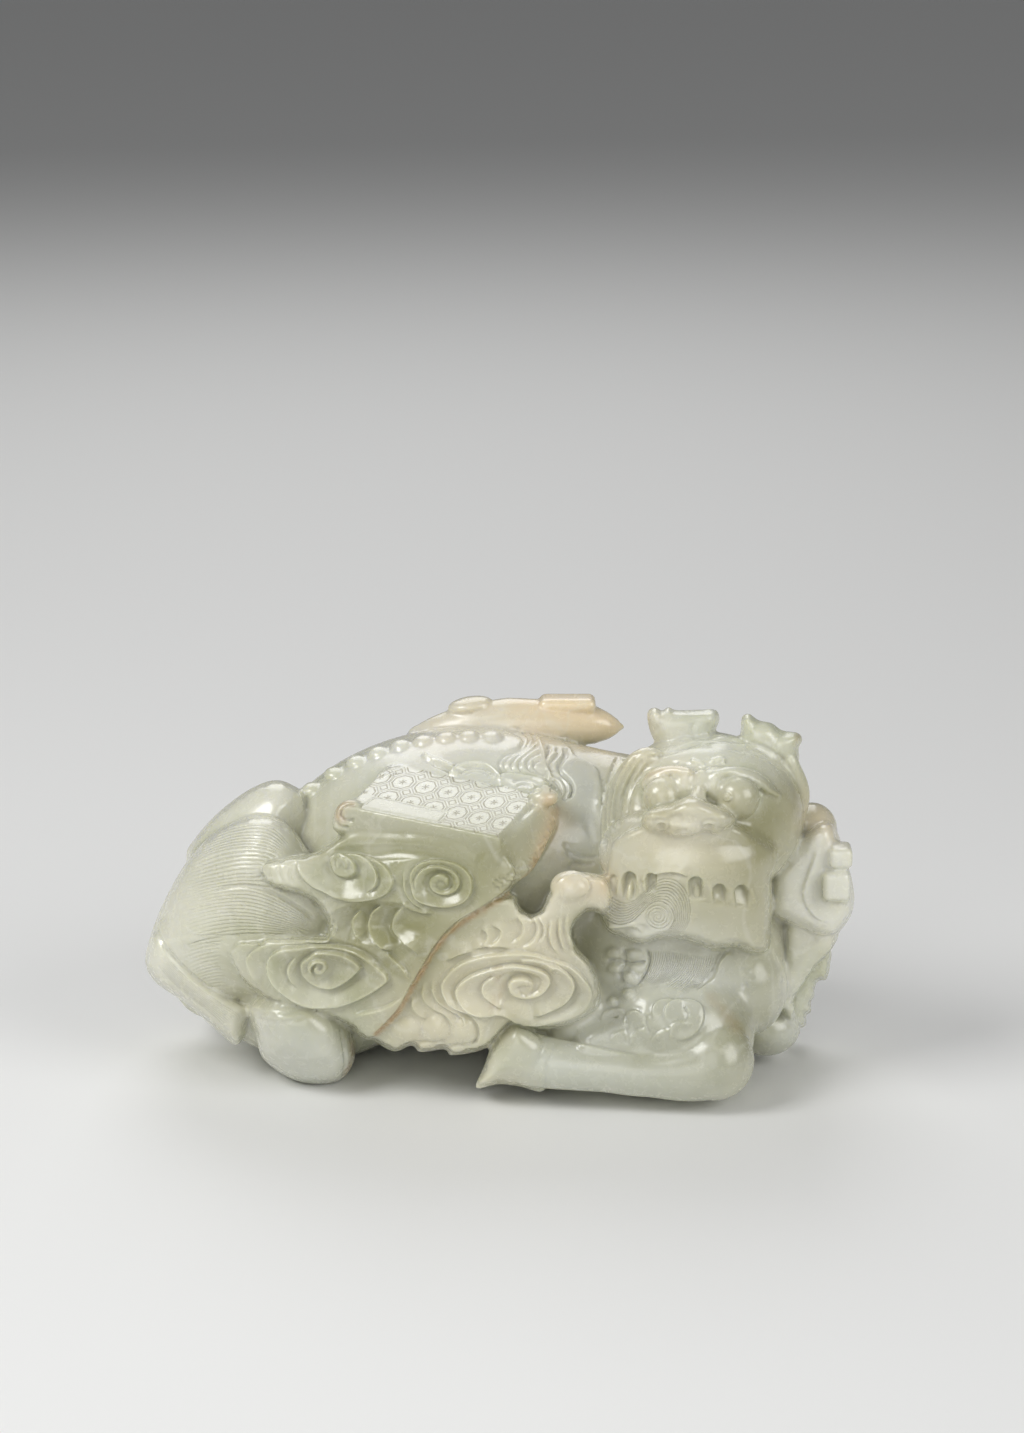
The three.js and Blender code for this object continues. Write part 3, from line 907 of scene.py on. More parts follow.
@dataclass
class Body:
    """The trunk, the rump, the chest and the neck, which flow into each other."""

    trunk: Egg = Egg((-6, 8, 42), (54, 34, 40.5), drawn=False)
    rump: Egg = Egg((-46, 4, 29.5), (33, 27, 30.5), drawn=False)
    chest: Egg = Egg((41, 0, 31), (31, 30, 32), drawn=False)
    neck: Arm = Arm(((8, 6, 60), (26, 3, 59), (46, -6, 60)), (21, 19, 17), drawn=False)
    far_haunch: Egg = Egg((-40, 24, 31), (27, 17, 25), drawn=False)
    far_shoulder: Egg = Egg((40, 18, 34), (22, 17, 25), lean=12, drawn=False)
    breast: Egg = Egg((742, 984, -13), (11.5, 12, 13.5))
    elbow: Egg = Egg((596, 1032, -26), (14, 9, 12))
    near_shoulder: Egg = Egg((680, 1024, -26), (19, 14, 13), lean=20)
    grain: float = 1.3
    rub: int = 14

    beads: int = 9
    first_bead: float = -46
    bead_pitch: float = 5.5
    bead_depth: float = 4.4
    bead_rise: float = 41.2
    bead_radii: Place = (2.8, 3.4, 1.8)

    mane: Sequence = (
        ((506, 729), (514, 732), (522, 736), (524, 741), (519, 748), (506, 754), (499, 761), (503, 768),
            (514, 772), (530, 776), (549, 779)),
        ((512, 727), (526, 734), (529, 740), (523, 748), (511, 755), (504, 761), (507, 767), (516, 771),
            (533, 776), (549, 777)),
        ((530, 731), (534, 739), (528, 747), (519, 754), (512, 761), (513, 767), (523, 772), (537, 775),
            (549, 776)),
        ((539, 743), (529, 751), (521, 758), (519, 765), (526, 771), (541, 774), (549, 775)),
        ((541, 751), (531, 756), (527, 762), (530, 768), (540, 771), (548, 774)),
        ((541, 759), (535, 761), (534, 766), (540, 769), (547, 772)),
        ((546, 747), (551, 748), (547, 755), (546, 761), (551, 771)),
        ((555, 748), (559, 752), (554, 758), (550, 764), (553, 772)),
        ((562, 748), (565, 753), (561, 760), (558, 766), (561, 773), (569, 780), (572, 787), (570, 796),
            (563, 801)),
        ((567, 748), (567, 755), (562, 762), (560, 768), (564, 774), (571, 782), (573, 789), (570, 798)),
        ((551, 773), (560, 777), (566, 785), (566, 793), (562, 800)),
        ((553, 778), (558, 783), (561, 791), (558, 797)),
    )
    mane_ridge: Sequence[Point] = ((536, 733), (541, 746), (546, 762), (551, 778))
    saddle: Sequence = (
        ((558, 736), (570, 748), (575, 755), (590, 763), (597, 768), (599.5, 777), (601.5, 791), (600.5, 812),
            (601.5, 832), (603, 850)),
    )
    flank_curl: Sequence = (
        ((563, 841), (568, 849), (578, 855), (592, 857), (600, 856)),
        ((566, 850), (574, 860), (586, 864), (596, 862)),
        ((568, 868), (574, 863), (586, 865)),
    )
    chest_comb: Sequence = (
        ((649, 950), (648, 962), (644, 974), (638, 986)),
        ((668, 950), (666, 963), (659, 976), (647, 987)),
        ((688, 952), (685, 965), (677, 976), (662, 986)),
        ((703, 954), (698, 972), (689, 984), (676, 994)),
        ((718, 953), (713, 967), (704, 980), (691, 990)),
    )
    chest_edge: Sequence[Point] = ((696, 991), (707, 983), (715, 975), (720, 961), (730, 950))
    chest_lines: Sequence = (
        ((738, 980), (748, 980), (757, 977)),
        ((740, 985), (750, 984)),
        ((739, 968), (746, 969), (753, 968)),
    )
    flower_cross: Sequence = (
        ((606, 961), (616, 959), (625, 962), (634, 963), (647, 961)),
        ((625, 947), (625, 956), (625, 963), (621, 973), (624, 983)),
        ((646, 948), (650, 958), (648, 969), (642, 978), (635, 985), (627, 985)),
    )
    flower_bosses: Sequence = (
        ((614, 953), (9, 7)), ((634, 954), (9, 6)), ((616, 968), (9, 6)), ((637, 968), (9, 6)),
        ((630, 977), (8, 7)), ((629, 994), (7, 6)), ((613, 1001), (5, 5)),
    )
    scales: Sequence = (
        ((601, 1021), (603, 1013), (610, 1009), (620, 1008), (626, 1013)),
        ((624, 1027), (624, 1017), (628, 1012), (636, 1010), (643, 1014)),
        ((610, 1041), (613, 1035), (619, 1031), (626, 1030)),
        ((629, 1045), (631, 1036), (637, 1030), (646, 1028)),
        ((650, 1042), (653, 1036), (661, 1031), (670, 1028)),
        ((669, 1039), (670, 1027), (677, 1021), (688, 1021)),
        ((653, 1019), (652, 1009), (657, 1001), (668, 998), (686, 1001)),
        ((668, 1026), (664, 1015), (667, 1004), (677, 999), (691, 999), (701, 1004), (704, 1014), (702, 1024),
            (696, 1033), (687, 1039), (674, 1041)),
    )
    scale_cuts: Sequence = (
        ((646, 1014), (646, 1023), (650, 1034)),
        ((626, 1013), (627, 1024), (628, 1035)),
        ((684, 1006), (688, 1012), (687, 1019)),
    )
    mane_layer: Point = (-38, 30)
    scale_layer: Point = (-44, -14)
    chest_layer: Point = (-44, 0)

    @property
    def combs(self) -> Sequence:
        """The combed places: guides, counts, depth, layer and fades."""
        return ((self.chest_comb, (8, 9, 7, 6), 0.2, self.chest_layer, (0.1, 0.22)),)

    def build(self) -> list[bpy.types.Object]:
        """Builds the masses that the clouds, book and scroll lie on.

        Returns:
            The one body and the beads of its spine.
        """
        masses = build_all(
            (
                self.trunk, self.rump, self.chest, self.neck, self.far_haunch, self.far_shoulder, self.breast,
                self.elbow, self.near_shoulder,
            )
        )
        body = Bench.fuse(masses, "body", self.grain, self.rub)
        log.info("body: %d faces", len(body.data.polygons))
        return [body, *self.spine()]

    def spine(self) -> list[bpy.types.Object]:
        """Builds the row of beads along the back.

        Returns:
            The beads.
        """
        beads = []
        long, deep, high = self.trunk.radii
        for i in range(self.beads):
            x = self.first_bead + i * self.bead_pitch
            share = math.sqrt(1 - ((x - self.trunk.middle[0]) / long) ** 2 - (2 / deep) ** 2)
            place = spot(x, self.bead_depth, self.bead_rise + high * share)
            beads.append(Bench.ball(place, self.bead_radii))
        return beads

    def carve(self, relief: Relief) -> None:
        """Cuts the mane, the saddle's edge, the flank's curl, the chest's hair and flower, and the scales.

        Args:
            relief: The cuts on the near side.
        """
        for path in self.mane:
            relief.groove(path, depth=0.6, width=0.42, fade=0.06, layer=self.mane_layer)
        relief.ridge(self.mane_ridge, height=0.5, width=0.4, fade=0.1, layer=self.mane_layer)
        for path in self.saddle:
            relief.step(path, high=0.3, low=0.5, reach=2.4, fade=0.06)
        for path in self.flank_curl:
            relief.groove(path, depth=0.45, width=0.45)
        relief.comb(*self.combs[0])
        relief.step(self.chest_edge, high=0.4, low=0.6, reach=2.2, fade=0.1)
        for path in self.chest_lines:
            relief.groove(path, depth=0.25, width=0.35, fade=0.3)
        for centre, radii in self.flower_bosses:
            relief.bump(centre, radii, height=1.0, power=0.8)
        for path in self.flower_cross:
            relief.groove(path, depth=0.8, width=0.36)
        for path in self.scales:
            relief.step(path, high=0.4, low=0.25, reach=1.6, fade=0.1, layer=self.scale_layer)
        for path in self.scale_cuts:
            relief.groove(path, depth=0.4, width=0.35, layer=self.scale_layer)


@dataclass
class Tail:
    """The bushy tail, swept round the rump in three locks."""

    upper: Sequence[Point] = (
        (304, 796), (292, 784.8), (278, 780), (262, 783.2), (240, 795.2), (215.2, 815.2), (195.2, 838),
        (186.4, 856), (196, 892), (236, 908), (292, 884), (312, 836),
    )
    near: Sequence[Point] = (
        (308, 850), (298, 835.2), (284.8, 822), (264.8, 815.2), (240, 819.2), (210, 836), (188, 860),
        (172, 886), (158, 915.2), (150, 944), (164, 966), (184, 984), (206, 996), (232, 1004), (262, 1003.2),
        (308, 996), (340, 948), (336, 884),
    )
    lower: Sequence[Point] = (
        (153.6, 932), (145.6, 955.2), (148.4, 972), (160, 986), (180, 999.2), (200, 1015.2), (220, 1032.8),
        (234.4, 1044.8), (241.6, 1040.8), (246.4, 1024.8), (249, 1006), (228, 992), (196, 968), (168, 936),
    )

    comb: Sequence = (
        ((180, 852), (205, 839), (230, 829), (256, 825), (276, 830), (291, 846)),
        ((176, 870), (200, 858), (222, 850), (244, 847), (266, 849), (284, 856)),
        ((172, 890), (200, 881), (220, 877), (240, 874), (252, 874), (258, 873)),
        ((172, 903), (200, 894), (224, 889), (250, 888), (275, 896), (298, 910), (316, 924)),
        ((172, 926), (200, 917), (222, 913), (246, 913), (270, 918), (300, 926), (318, 930)),
        ((174, 950), (200, 941), (218, 937), (236, 934), (258, 933), (290, 934)),
    )
    low_comb: Sequence = (
        ((174, 950), (196, 942), (212, 938.5), (224, 937)),
        ((180, 976), (196, 969), (210, 965), (222, 963)),
        ((190, 994), (204, 990), (216, 989), (228, 990)),
    )
    parting: Sequence[Point] = ((205, 892), (228, 887), (252, 886), (276, 894), (300, 909), (322, 925))
    hem: Sequence[Point] = (
        (158, 918), (163, 938), (178, 958), (200, 978), (222, 994), (249, 1003),
    )
    flap_comb: Sequence = (
        ((158, 946), (174, 966), (198, 988), (222, 1004), (238, 1014), (242, 1026)),
        ((157, 962), (170, 979), (192, 998), (212, 1014), (228, 1030)),
    )
    far_lock: Egg = Egg((-66, 14, 30), (15, 14, 26), lean=24, drawn=False)
    layer: Point = (-28.8, 6)
    flap_layer: Point = (-34, 6)
    shoulder: float = 262

    @property
    def combs(self) -> Sequence:
        """The combed places: guides, counts, depth, layer and fades."""
        return (
            (self.comb, (7, 6, 4, 7, 6), 0.17, self.layer, (0.5, 0.1)),
            (self.low_comb, (7, 8), 0.17, self.layer, (0.5, 0.12)),
            (self.flap_comb, (8,), 0.12, self.flap_layer, (0.2, 0.2)),
        )

    def near_rim(self, across: np.ndarray, down: np.ndarray) -> np.ndarray:
        """Gives the depth of the near lock's rim, which sinks where the clouds lie over it.

        Args:
            across: Distances across the drawing.
            down: Distances down, which are not used.

        Returns:
            The depths in millimetres.
        """
        toward_clouds = 3.2 * smooth_step(across, 284, 330)
        toward_tip = 0.05 * (np.minimum(across, self.shoulder) - 252)
        toward_rump = 0.03 * np.maximum(across - self.shoulder, 0)
        return -12 - toward_tip + toward_rump - toward_clouds

    def lower_rim(self, across: np.ndarray, down: np.ndarray) -> np.ndarray:
        """Gives the depth of the lower lock's rim."""
        return -13 - 0.0625 * (across - 204)

    def build(self) -> list[bpy.types.Object]:
        """Builds the three near locks and the far one.

        Returns:
            The pieces.
        """
        return [
            Bench.pillow(self.upper, depth=2, crown=14, edge=16, root=14),
            Bench.pillow(self.near, self.near_rim, crown=13, edge=14, root=18, dome=1.5),
            Bench.pillow(self.lower, self.lower_rim, crown=8, edge=6, root=9),
            *self.far_lock.build(),
        ]

    def carve(self, relief: Relief) -> None:
        """Combs the locks and cuts the creases between them.

        Args:
            relief: The cuts on the near side.
        """
        relief.groove(self.parting, depth=0.5, width=0.5, fade=0.15)
        relief.step(self.hem[::-1], high=0.5, low=0.3, reach=2.0, fade=0.05)
        for comb in self.combs:
            relief.comb(*comb)


@dataclass
class Legs:
    """The hind hoof under the tail, the folded near foreleg and the far legs."""

    hind_hoof: Sequence[Point] = (
        (250, 1003.2), (250, 1020), (256, 1036.8), (262, 1056.8), (278, 1071.2), (298, 1081.2), (320, 1084.4),
        (340, 1080), (352, 1066), (355.2, 1050), (352, 1034), (344.8, 1016), (320, 992), (280, 988),
    )
    fore_hoof: Sequence[Point] = (
        (476, 1088), (483.2, 1068), (492, 1044.8), (503.2, 1030), (516, 1022), (532, 1030), (548, 1044),
        (550, 1070), (543.2, 1091.2), (520, 1086.4), (498, 1084),
    )

    hoof_lines: Sequence = (
        ((341, 1028), (344, 1046), (345.6, 1064), (342, 1082)),
        ((250, 1008), (266, 1014), (284, 1014), (302, 1009)),
        ((254, 1017), (270, 1021), (290, 1021), (306, 1016)),
    )
    pastern: Sequence[Point] = ((557, 1040), (551, 1052), (547, 1068), (544, 1090))
    forearm_edge: Sequence[Point] = ((516, 1026), (545, 1036), (580, 1043), (610, 1050), (640, 1056))
    upper_arm: Sequence[Point] = (
        (560, 1050), (580, 1020), (620, 1004), (660, 994), (697, 988), (712, 990), (723, 1006), (736, 1023),
        (748, 1038), (754, 1058), (750, 1078), (738, 1089), (700, 1096), (640, 1094), (580, 1080),
    )
    forearm: Arm = Arm(
        ((532, 1060, -33), (564, 1064, -34), (604, 1068, -35), (648, 1072, -36), (700, 1068, -36),
            (716, 1062, -35)),
        (6.6, 6.2, 5.8, 6, 8, 8.6),
    )
    elbow: Egg = Egg((714, 1060, -34), (9.8, 9.5, 9.8))
    far_hind: Arm = Arm(((-56, 28, 9), (-40, 34, 8), (-22, 34, 7)), (10, 8.4, 7.2), drawn=False)
    far_fore: Arm = Arm(((58, 22, 9), (44, 31, 8), (26, 34, 7)), (10, 8, 7), drawn=False)
    far_paw: Egg = Egg((766, 1025.6, -3), (8.6, 9, 7.2))

    def arm_rim(self, across: np.ndarray, down: np.ndarray) -> np.ndarray:
        """Gives the depth of the upper arm's rim, which stands nearer toward its foot."""
        return -24 - 0.07 * (down - 990)

    def build(self) -> list[bpy.types.Object]:
        """Builds the hooves and the limbs.

        Returns:
            The pieces.
        """
        return [
            Bench.pillow(self.hind_hoof, depth=-20, crown=8, edge=8, root=14, dome=5.5),
            Bench.pillow(self.fore_hoof, depth=-33, crown=7, edge=6, root=7),
            *build_all((self.forearm, self.elbow)),
            Bench.pillow(self.upper_arm, self.arm_rim, crown=10, edge=7, root=14),
            *build_all((self.far_hind, self.far_fore, self.far_paw)),
        ]

    def carve(self, relief: Relief) -> None:
        """Cuts the cleft of the hoof, the pastern and the forearm's edge.

        Args:
            relief: The cuts on the near side.
        """
        cleft, *folds = self.hoof_lines
        relief.groove(cleft, depth=0.5, width=0.4, fade=0.1)
        for path in folds:
            relief.groove(path, depth=0.3, width=0.6)
        relief.groove(self.pastern, depth=0.25, width=0.5, fade=0.1)
        relief.step(self.forearm_edge, high=0.4, low=0.6, reach=2.5, fade=0.1)


@dataclass
class Head:
    """The head, turned to face the viewer over the shoulder."""

    muzzle: Sequence[Point] = (
        (604, 862), (609, 843), (622, 831), (645, 823), (690, 819), (732, 821), (751, 831), (763, 846),
        (770, 864), (772, 900), (771, 930), (768.8, 949), (754, 953.4), (735, 947), (714, 949.6), (692, 942),
        (665, 938), (641, 943.6), (625, 938), (608, 931), (601, 915), (602, 888),
    )
    nose: Sequence[Point] = (
        (641, 822), (643.6, 814.4), (650.7, 808.6), (661.5, 805.3), (671, 804), (679, 799.5), (689, 796.4),
        (699, 797.6), (710.4, 803), (719, 806), (727.4, 810), (734, 815.6), (735.6, 820.6), (729.4, 827.7),
        (722, 831.6), (715, 836), (708, 833.4), (699, 834), (689, 837), (676, 838), (667, 834.4),
        (657.4, 832.4), (650, 833), (644.4, 828.4),
    )
    left_brow: Sequence[Point] = (
        (640.6, 787), (643.6, 777), (651, 769.4), (662, 765.6), (676, 765), (687, 767), (693, 771),
        (690, 776), (682, 774.4), (672, 774), (662, 776), (652, 781), (645.6, 789),
    )
    right_brow: Sequence[Point] = (
        (710, 773), (716, 769), (728, 766), (745, 767), (761, 773), (772, 783), (784, 798.6),
        (776, 798.4), (766, 792.6), (756, 785), (742, 778.6), (729, 775.6), (719, 776.4),
    )
    left_horn: Sequence[Point] = (
        (647.2, 713.6), (655.2, 707.2), (662.4, 711.2), (668, 706.4), (675.2, 710), (700, 709.6),
        (715.2, 709.6), (719.6, 718), (715.2, 730), (704.8, 748), (676, 756), (654, 740),
    )
    right_horn: Sequence[Point] = (
        (740.8, 724.8), (743.2, 715.2), (749.6, 713.6), (758, 720), (772, 723.2), (782, 730.4), (798, 732.8),
        (802.4, 740), (798.4, 748), (797.6, 762), (772, 768), (744, 756),
    )
    side_hair: Sequence[Point] = (
        (646, 747), (628, 756), (612, 779), (603, 806), (601.6, 840), (606, 858.4), (636, 850), (648, 800),
        (656, 770), (662, 752),
    )

    gaps: Sequence = (
        ((629, 872.5), 13, 27, 2.6), ((651, 873), 9.6, 20, 2.4), ((612.6, 875), 7, 18, 1.0),
        ((695.6, 877.6), 14, 22, 3.0), ((719.4, 885), 12.6, 19, 2.4), ((742, 886), 13, 22, 2.4),
    )
    tongues: Sequence = (((629, 891), (3.4, 9), 1.2), ((697, 893), (4, 5), 0.6))
    teeth: Sequence = (
        ((621, 874), (619, 886), (617, 898)), ((637, 874), (639.6, 886), (642, 898)),
        ((644.6, 875), (645, 884), (646, 893)), ((708.6, 882), (710, 891), (709, 900)),
        ((729.6, 886), (731, 893), (730, 902)), ((750.6, 888), (753, 896), (755, 906)),
    )
    lip_edge: Sequence[Point] = ((690, 898), (706, 901), (728, 903), (752, 907), (766, 910))
    skull_middle: Place = (704.8, 816, -13)
    skull_radii: Place = (24, 21, 20.5)
    hollows: Sequence = (
        ((642, 806), (8, 16), -0.5), ((772, 822), (20, 30), -1.2),
    )
    nose_lobes: Sequence = (
        ((675, 818), (10, 7), -0.9), ((700, 808), (26, 9), 0.4), ((652, 815), (8, 6), 0.4),
        ((722, 816), (10, 7), 0.4), ((690, 829), (13, 7), 0.5), ((661, 826), (5, 3.4), -0.7),
        ((709, 827), (6, 3.6), -0.7), ((722, 824), (6, 4), 0.4),
    )
    brow_bumps: Sequence = (
        ((700, 756), (40, 10), 0.6), ((728, 929), (44, 22), -0.7), ((632, 930), (26, 7), -0.8),
    )
    brow_curls: Sequence = (
        ((691, 760), (695, 763), (701, 764), (704, 768)), ((709, 764), (716, 761), (724, 760.6), (721, 765)),
    )
    wrinkles: Sequence = (
        ((672, 755), (688, 746), (712, 741), (740, 741), (762, 746), (784, 760), (797, 782)),
        ((645, 757), (664, 755), (686, 748), (702, 741)),
        ((730, 748), (752, 752), (774, 763), (790, 783)),
        ((744, 746), (764, 752), (782, 768)),
        ((622, 751), (609, 776), (603.6, 800), (603, 833), (606, 854)),
        ((630, 750), (615, 778), (609, 806), (608, 838)),
        ((638, 752), (622, 780), (615, 806), (613, 836)),
        ((645, 756), (630, 780), (621, 804), (619, 830)),
        ((650, 762), (638, 778), (630, 796), (626, 818)),
        ((690, 736), (704, 738), (716, 734)),
    )
    lids: Sequence = (
        ((716, 800), (717, 786), (726, 778), (740, 776), (754, 781), (762, 792)),
        ((644, 800), (645, 786), (654, 778), (668, 776), (680, 784)),
    )
    pupil: Point = (727, 797)
    nose_cuts: Sequence = (
        ((652, 826), (656, 821), (663, 820), (669, 824), (667, 830), (660, 831)),
        ((716, 830), (710, 832), (702, 829), (702, 823), (709, 820), (718, 822)),
        ((673, 835), (680, 830), (688, 829)),
        ((646, 819), (653, 820), (658, 817)),
    )
    horn_cuts: Sequence = (
        ((660, 712), (658, 724), (654, 734)),
        ((690, 738), (693, 726), (700, 722), (716, 728)),
        ((756, 722), (752, 732), (746, 738)),
        ((776, 752), (778, 738), (786, 734)),
    )
    lip_curl: Sequence[Point] = ((640, 883), (650, 876), (662, 873), (677, 872.6), (690, 878))
    breath_lines: Sequence = (
        ((600, 886), (610, 896), (622, 903), (634, 901), (645, 891), (656, 882), (668, 879), (680, 884),
            (688, 896), (690, 912), (686, 928), (676, 938)),
        ((596, 908), (604, 918), (618, 924), (632, 921), (642, 912), (650, 904), (658, 901), (667, 904),
            (673, 911), (674, 921), (669, 930), (660, 935)),
    )
    under_breath: Sequence[Point] = ((604, 926), (618, 927), (634, 926), (646, 934))
    breath_curl: Point = (658, 918)
    breath_radii: Point = (13.5, 13)
    cheeks: Egg = Egg((688, 854, -26.6), (21.5, 15.2, 13.0))
    bridge: Arm = Arm(((702, 776, -29.0), (700, 787, -31.2), (697, 800, -35)), (1.6, 1.4, 2.2))
    eyes: Sequence[Egg] = (
        Egg((685, 785, -27.8), (3.8, 4.2, 4.4)),
        Egg((715, 785, -28.0), (3.8, 4.2, 4.4)),
        Egg((662.4, 796.2, -29.6), (4.7, 4.6, 4.7)),
        Egg((737.8, 797.4, -30.4), (5.3, 5.0, 5.3)),
    )
    ear_curl: Arm = Arm(((790.4, 762, -12), (800, 792, -11), (797.6, 820, -11)), (2, 2.4, 2))
    hair_layer: Point = (-40, 12)
    hollow_layer: Point = (-36, 0)
    mouth_layer: Point = (-48, -28)

    @property
    def combs(self) -> Sequence:
        """The combed places: guides, counts, depth and layer."""
        return ((self.breath_lines, (8,), 0.22, self.mouth_layer),)

    def skull(self, across: np.ndarray, down: np.ndarray) -> np.ndarray:
        """Gives the depth of the skull's near side behind points of the drawing.

        Args:
            across: Distances across the drawing.
            down: Distances down.

        Returns:
            The depths in millimetres.
        """
        middle, radii = self.skull_middle, self.skull_radii
        u = (across - middle[0]) * DRAWING.pitch / radii[0]
        v = (down - middle[1]) * DRAWING.pitch / radii[2]
        return middle[2] - radii[1] * np.sqrt(np.clip(1 - u * u - v * v, 0.04, 1))

    def brow_rim(self, across: np.ndarray, down: np.ndarray) -> np.ndarray:
        """Gives the depth of a brow's rim, which lies just in the skull."""
        return self.skull(across, down) + 0.4

    def muzzle_rim(self, across: np.ndarray, down: np.ndarray) -> np.ndarray:
        """Gives the depth of the muzzle's rim, which turns back at both sides."""
        return -30.5 + 0.00075 * (across - 684) ** 2

    def build(self) -> list[bpy.types.Object]:
        """Builds the skull, the muzzle, the nose, the brows, the eyes, the horns and the hair.

        Returns:
            The pieces.
        """
        horns = {"depth": -9, "crown": 4, "edge": 4, "root": 5, "dome": 1}
        return [
            Bench.ball(at(*self.skull_middle), self.skull_radii),
            *self.cheeks.build(),
            Bench.pillow(self.muzzle, self.muzzle_rim, crown=9, edge=2.0, root=14, dome=0.8),
            Bench.pillow(self.nose, depth=-38.6, crown=4.8, edge=3.0, root=8, dome=1.0, pitch=3),
            Bench.pillow(self.left_brow, self.brow_rim, crown=1.5, edge=1.3, root=3, pitch=2.5),
            Bench.pillow(self.right_brow, self.brow_rim, crown=1.7, edge=1.4, root=3, pitch=2.5),
            *build_all((self.bridge, *self.eyes)),
            Bench.pillow(self.left_horn, **horns),
            Bench.pillow(self.right_horn, **horns),
            Bench.pillow(self.side_hair, depth=-19, crown=2.6, edge=4, root=8),
            *self.ear_curl.build(),
        ]

    def carve(self, relief: Relief) -> None:
        """Cuts the hair, lids, sockets, nostrils, horns, lips, teeth and the breath in the mouth.

        Args:
            relief: The cuts on the near side.
        """
        for path in self.wrinkles:
            relief.groove(path, depth=0.45, width=0.45, layer=self.hair_layer)
        for path in self.lids:
            relief.groove(path, depth=0.2, width=0.4, fade=0.2)
        across, down = self.pupil
        ring = [(across + 4.6 * math.cos(i), down + 4.6 * math.sin(i)) for i in range(6)]
        relief.dish(ring, high=0.4, low=0.25, reach=0.7, outside=0.8)
        relief.bump(self.pupil, radii=(2.4, 2.4), height=0.3)
        for centre, radii, height in self.hollows:
            relief.bump(centre, radii, height, layer=self.hollow_layer)
        for centre, radii, height in (*self.nose_lobes, *self.brow_bumps):
            relief.bump(centre, radii, height)
        for path in self.nose_cuts:
            relief.groove(path, depth=0.35, width=0.45)
        for path in self.horn_cuts:
            relief.groove(path, depth=0.3, width=0.7, fade=0.25)
        relief.step(self.lip_curl[::-1], high=0.8, low=0.5, reach=2.0, fade=0.2)
        relief.ridge(self.under_breath, height=0.7, width=0.7, fade=0.2)
        relief.step(self.lip_edge[::-1], high=0.25, low=0.15, reach=3.6, fade=0.3)
        for top, width, length, depth in self.gaps:
            relief.notch(top, width, length, depth)
        for centre, radii, height in self.tongues:
            relief.bump(centre, radii, height, power=0.7)
        for path in self.teeth:
            relief.ridge(path, height=0.5, width=0.5, fade=0.25)
        for path in self.brow_curls:
            relief.ridge(path, height=0.6, width=0.5, fade=0.15)
        relief.comb(*self.combs[0])
        curl = coil(self.breath_curl, self.breath_radii, turns=4, start=200, inner=0.1)
        relief.groove(curl, depth=0.24, width=0.26, fade=0.03)


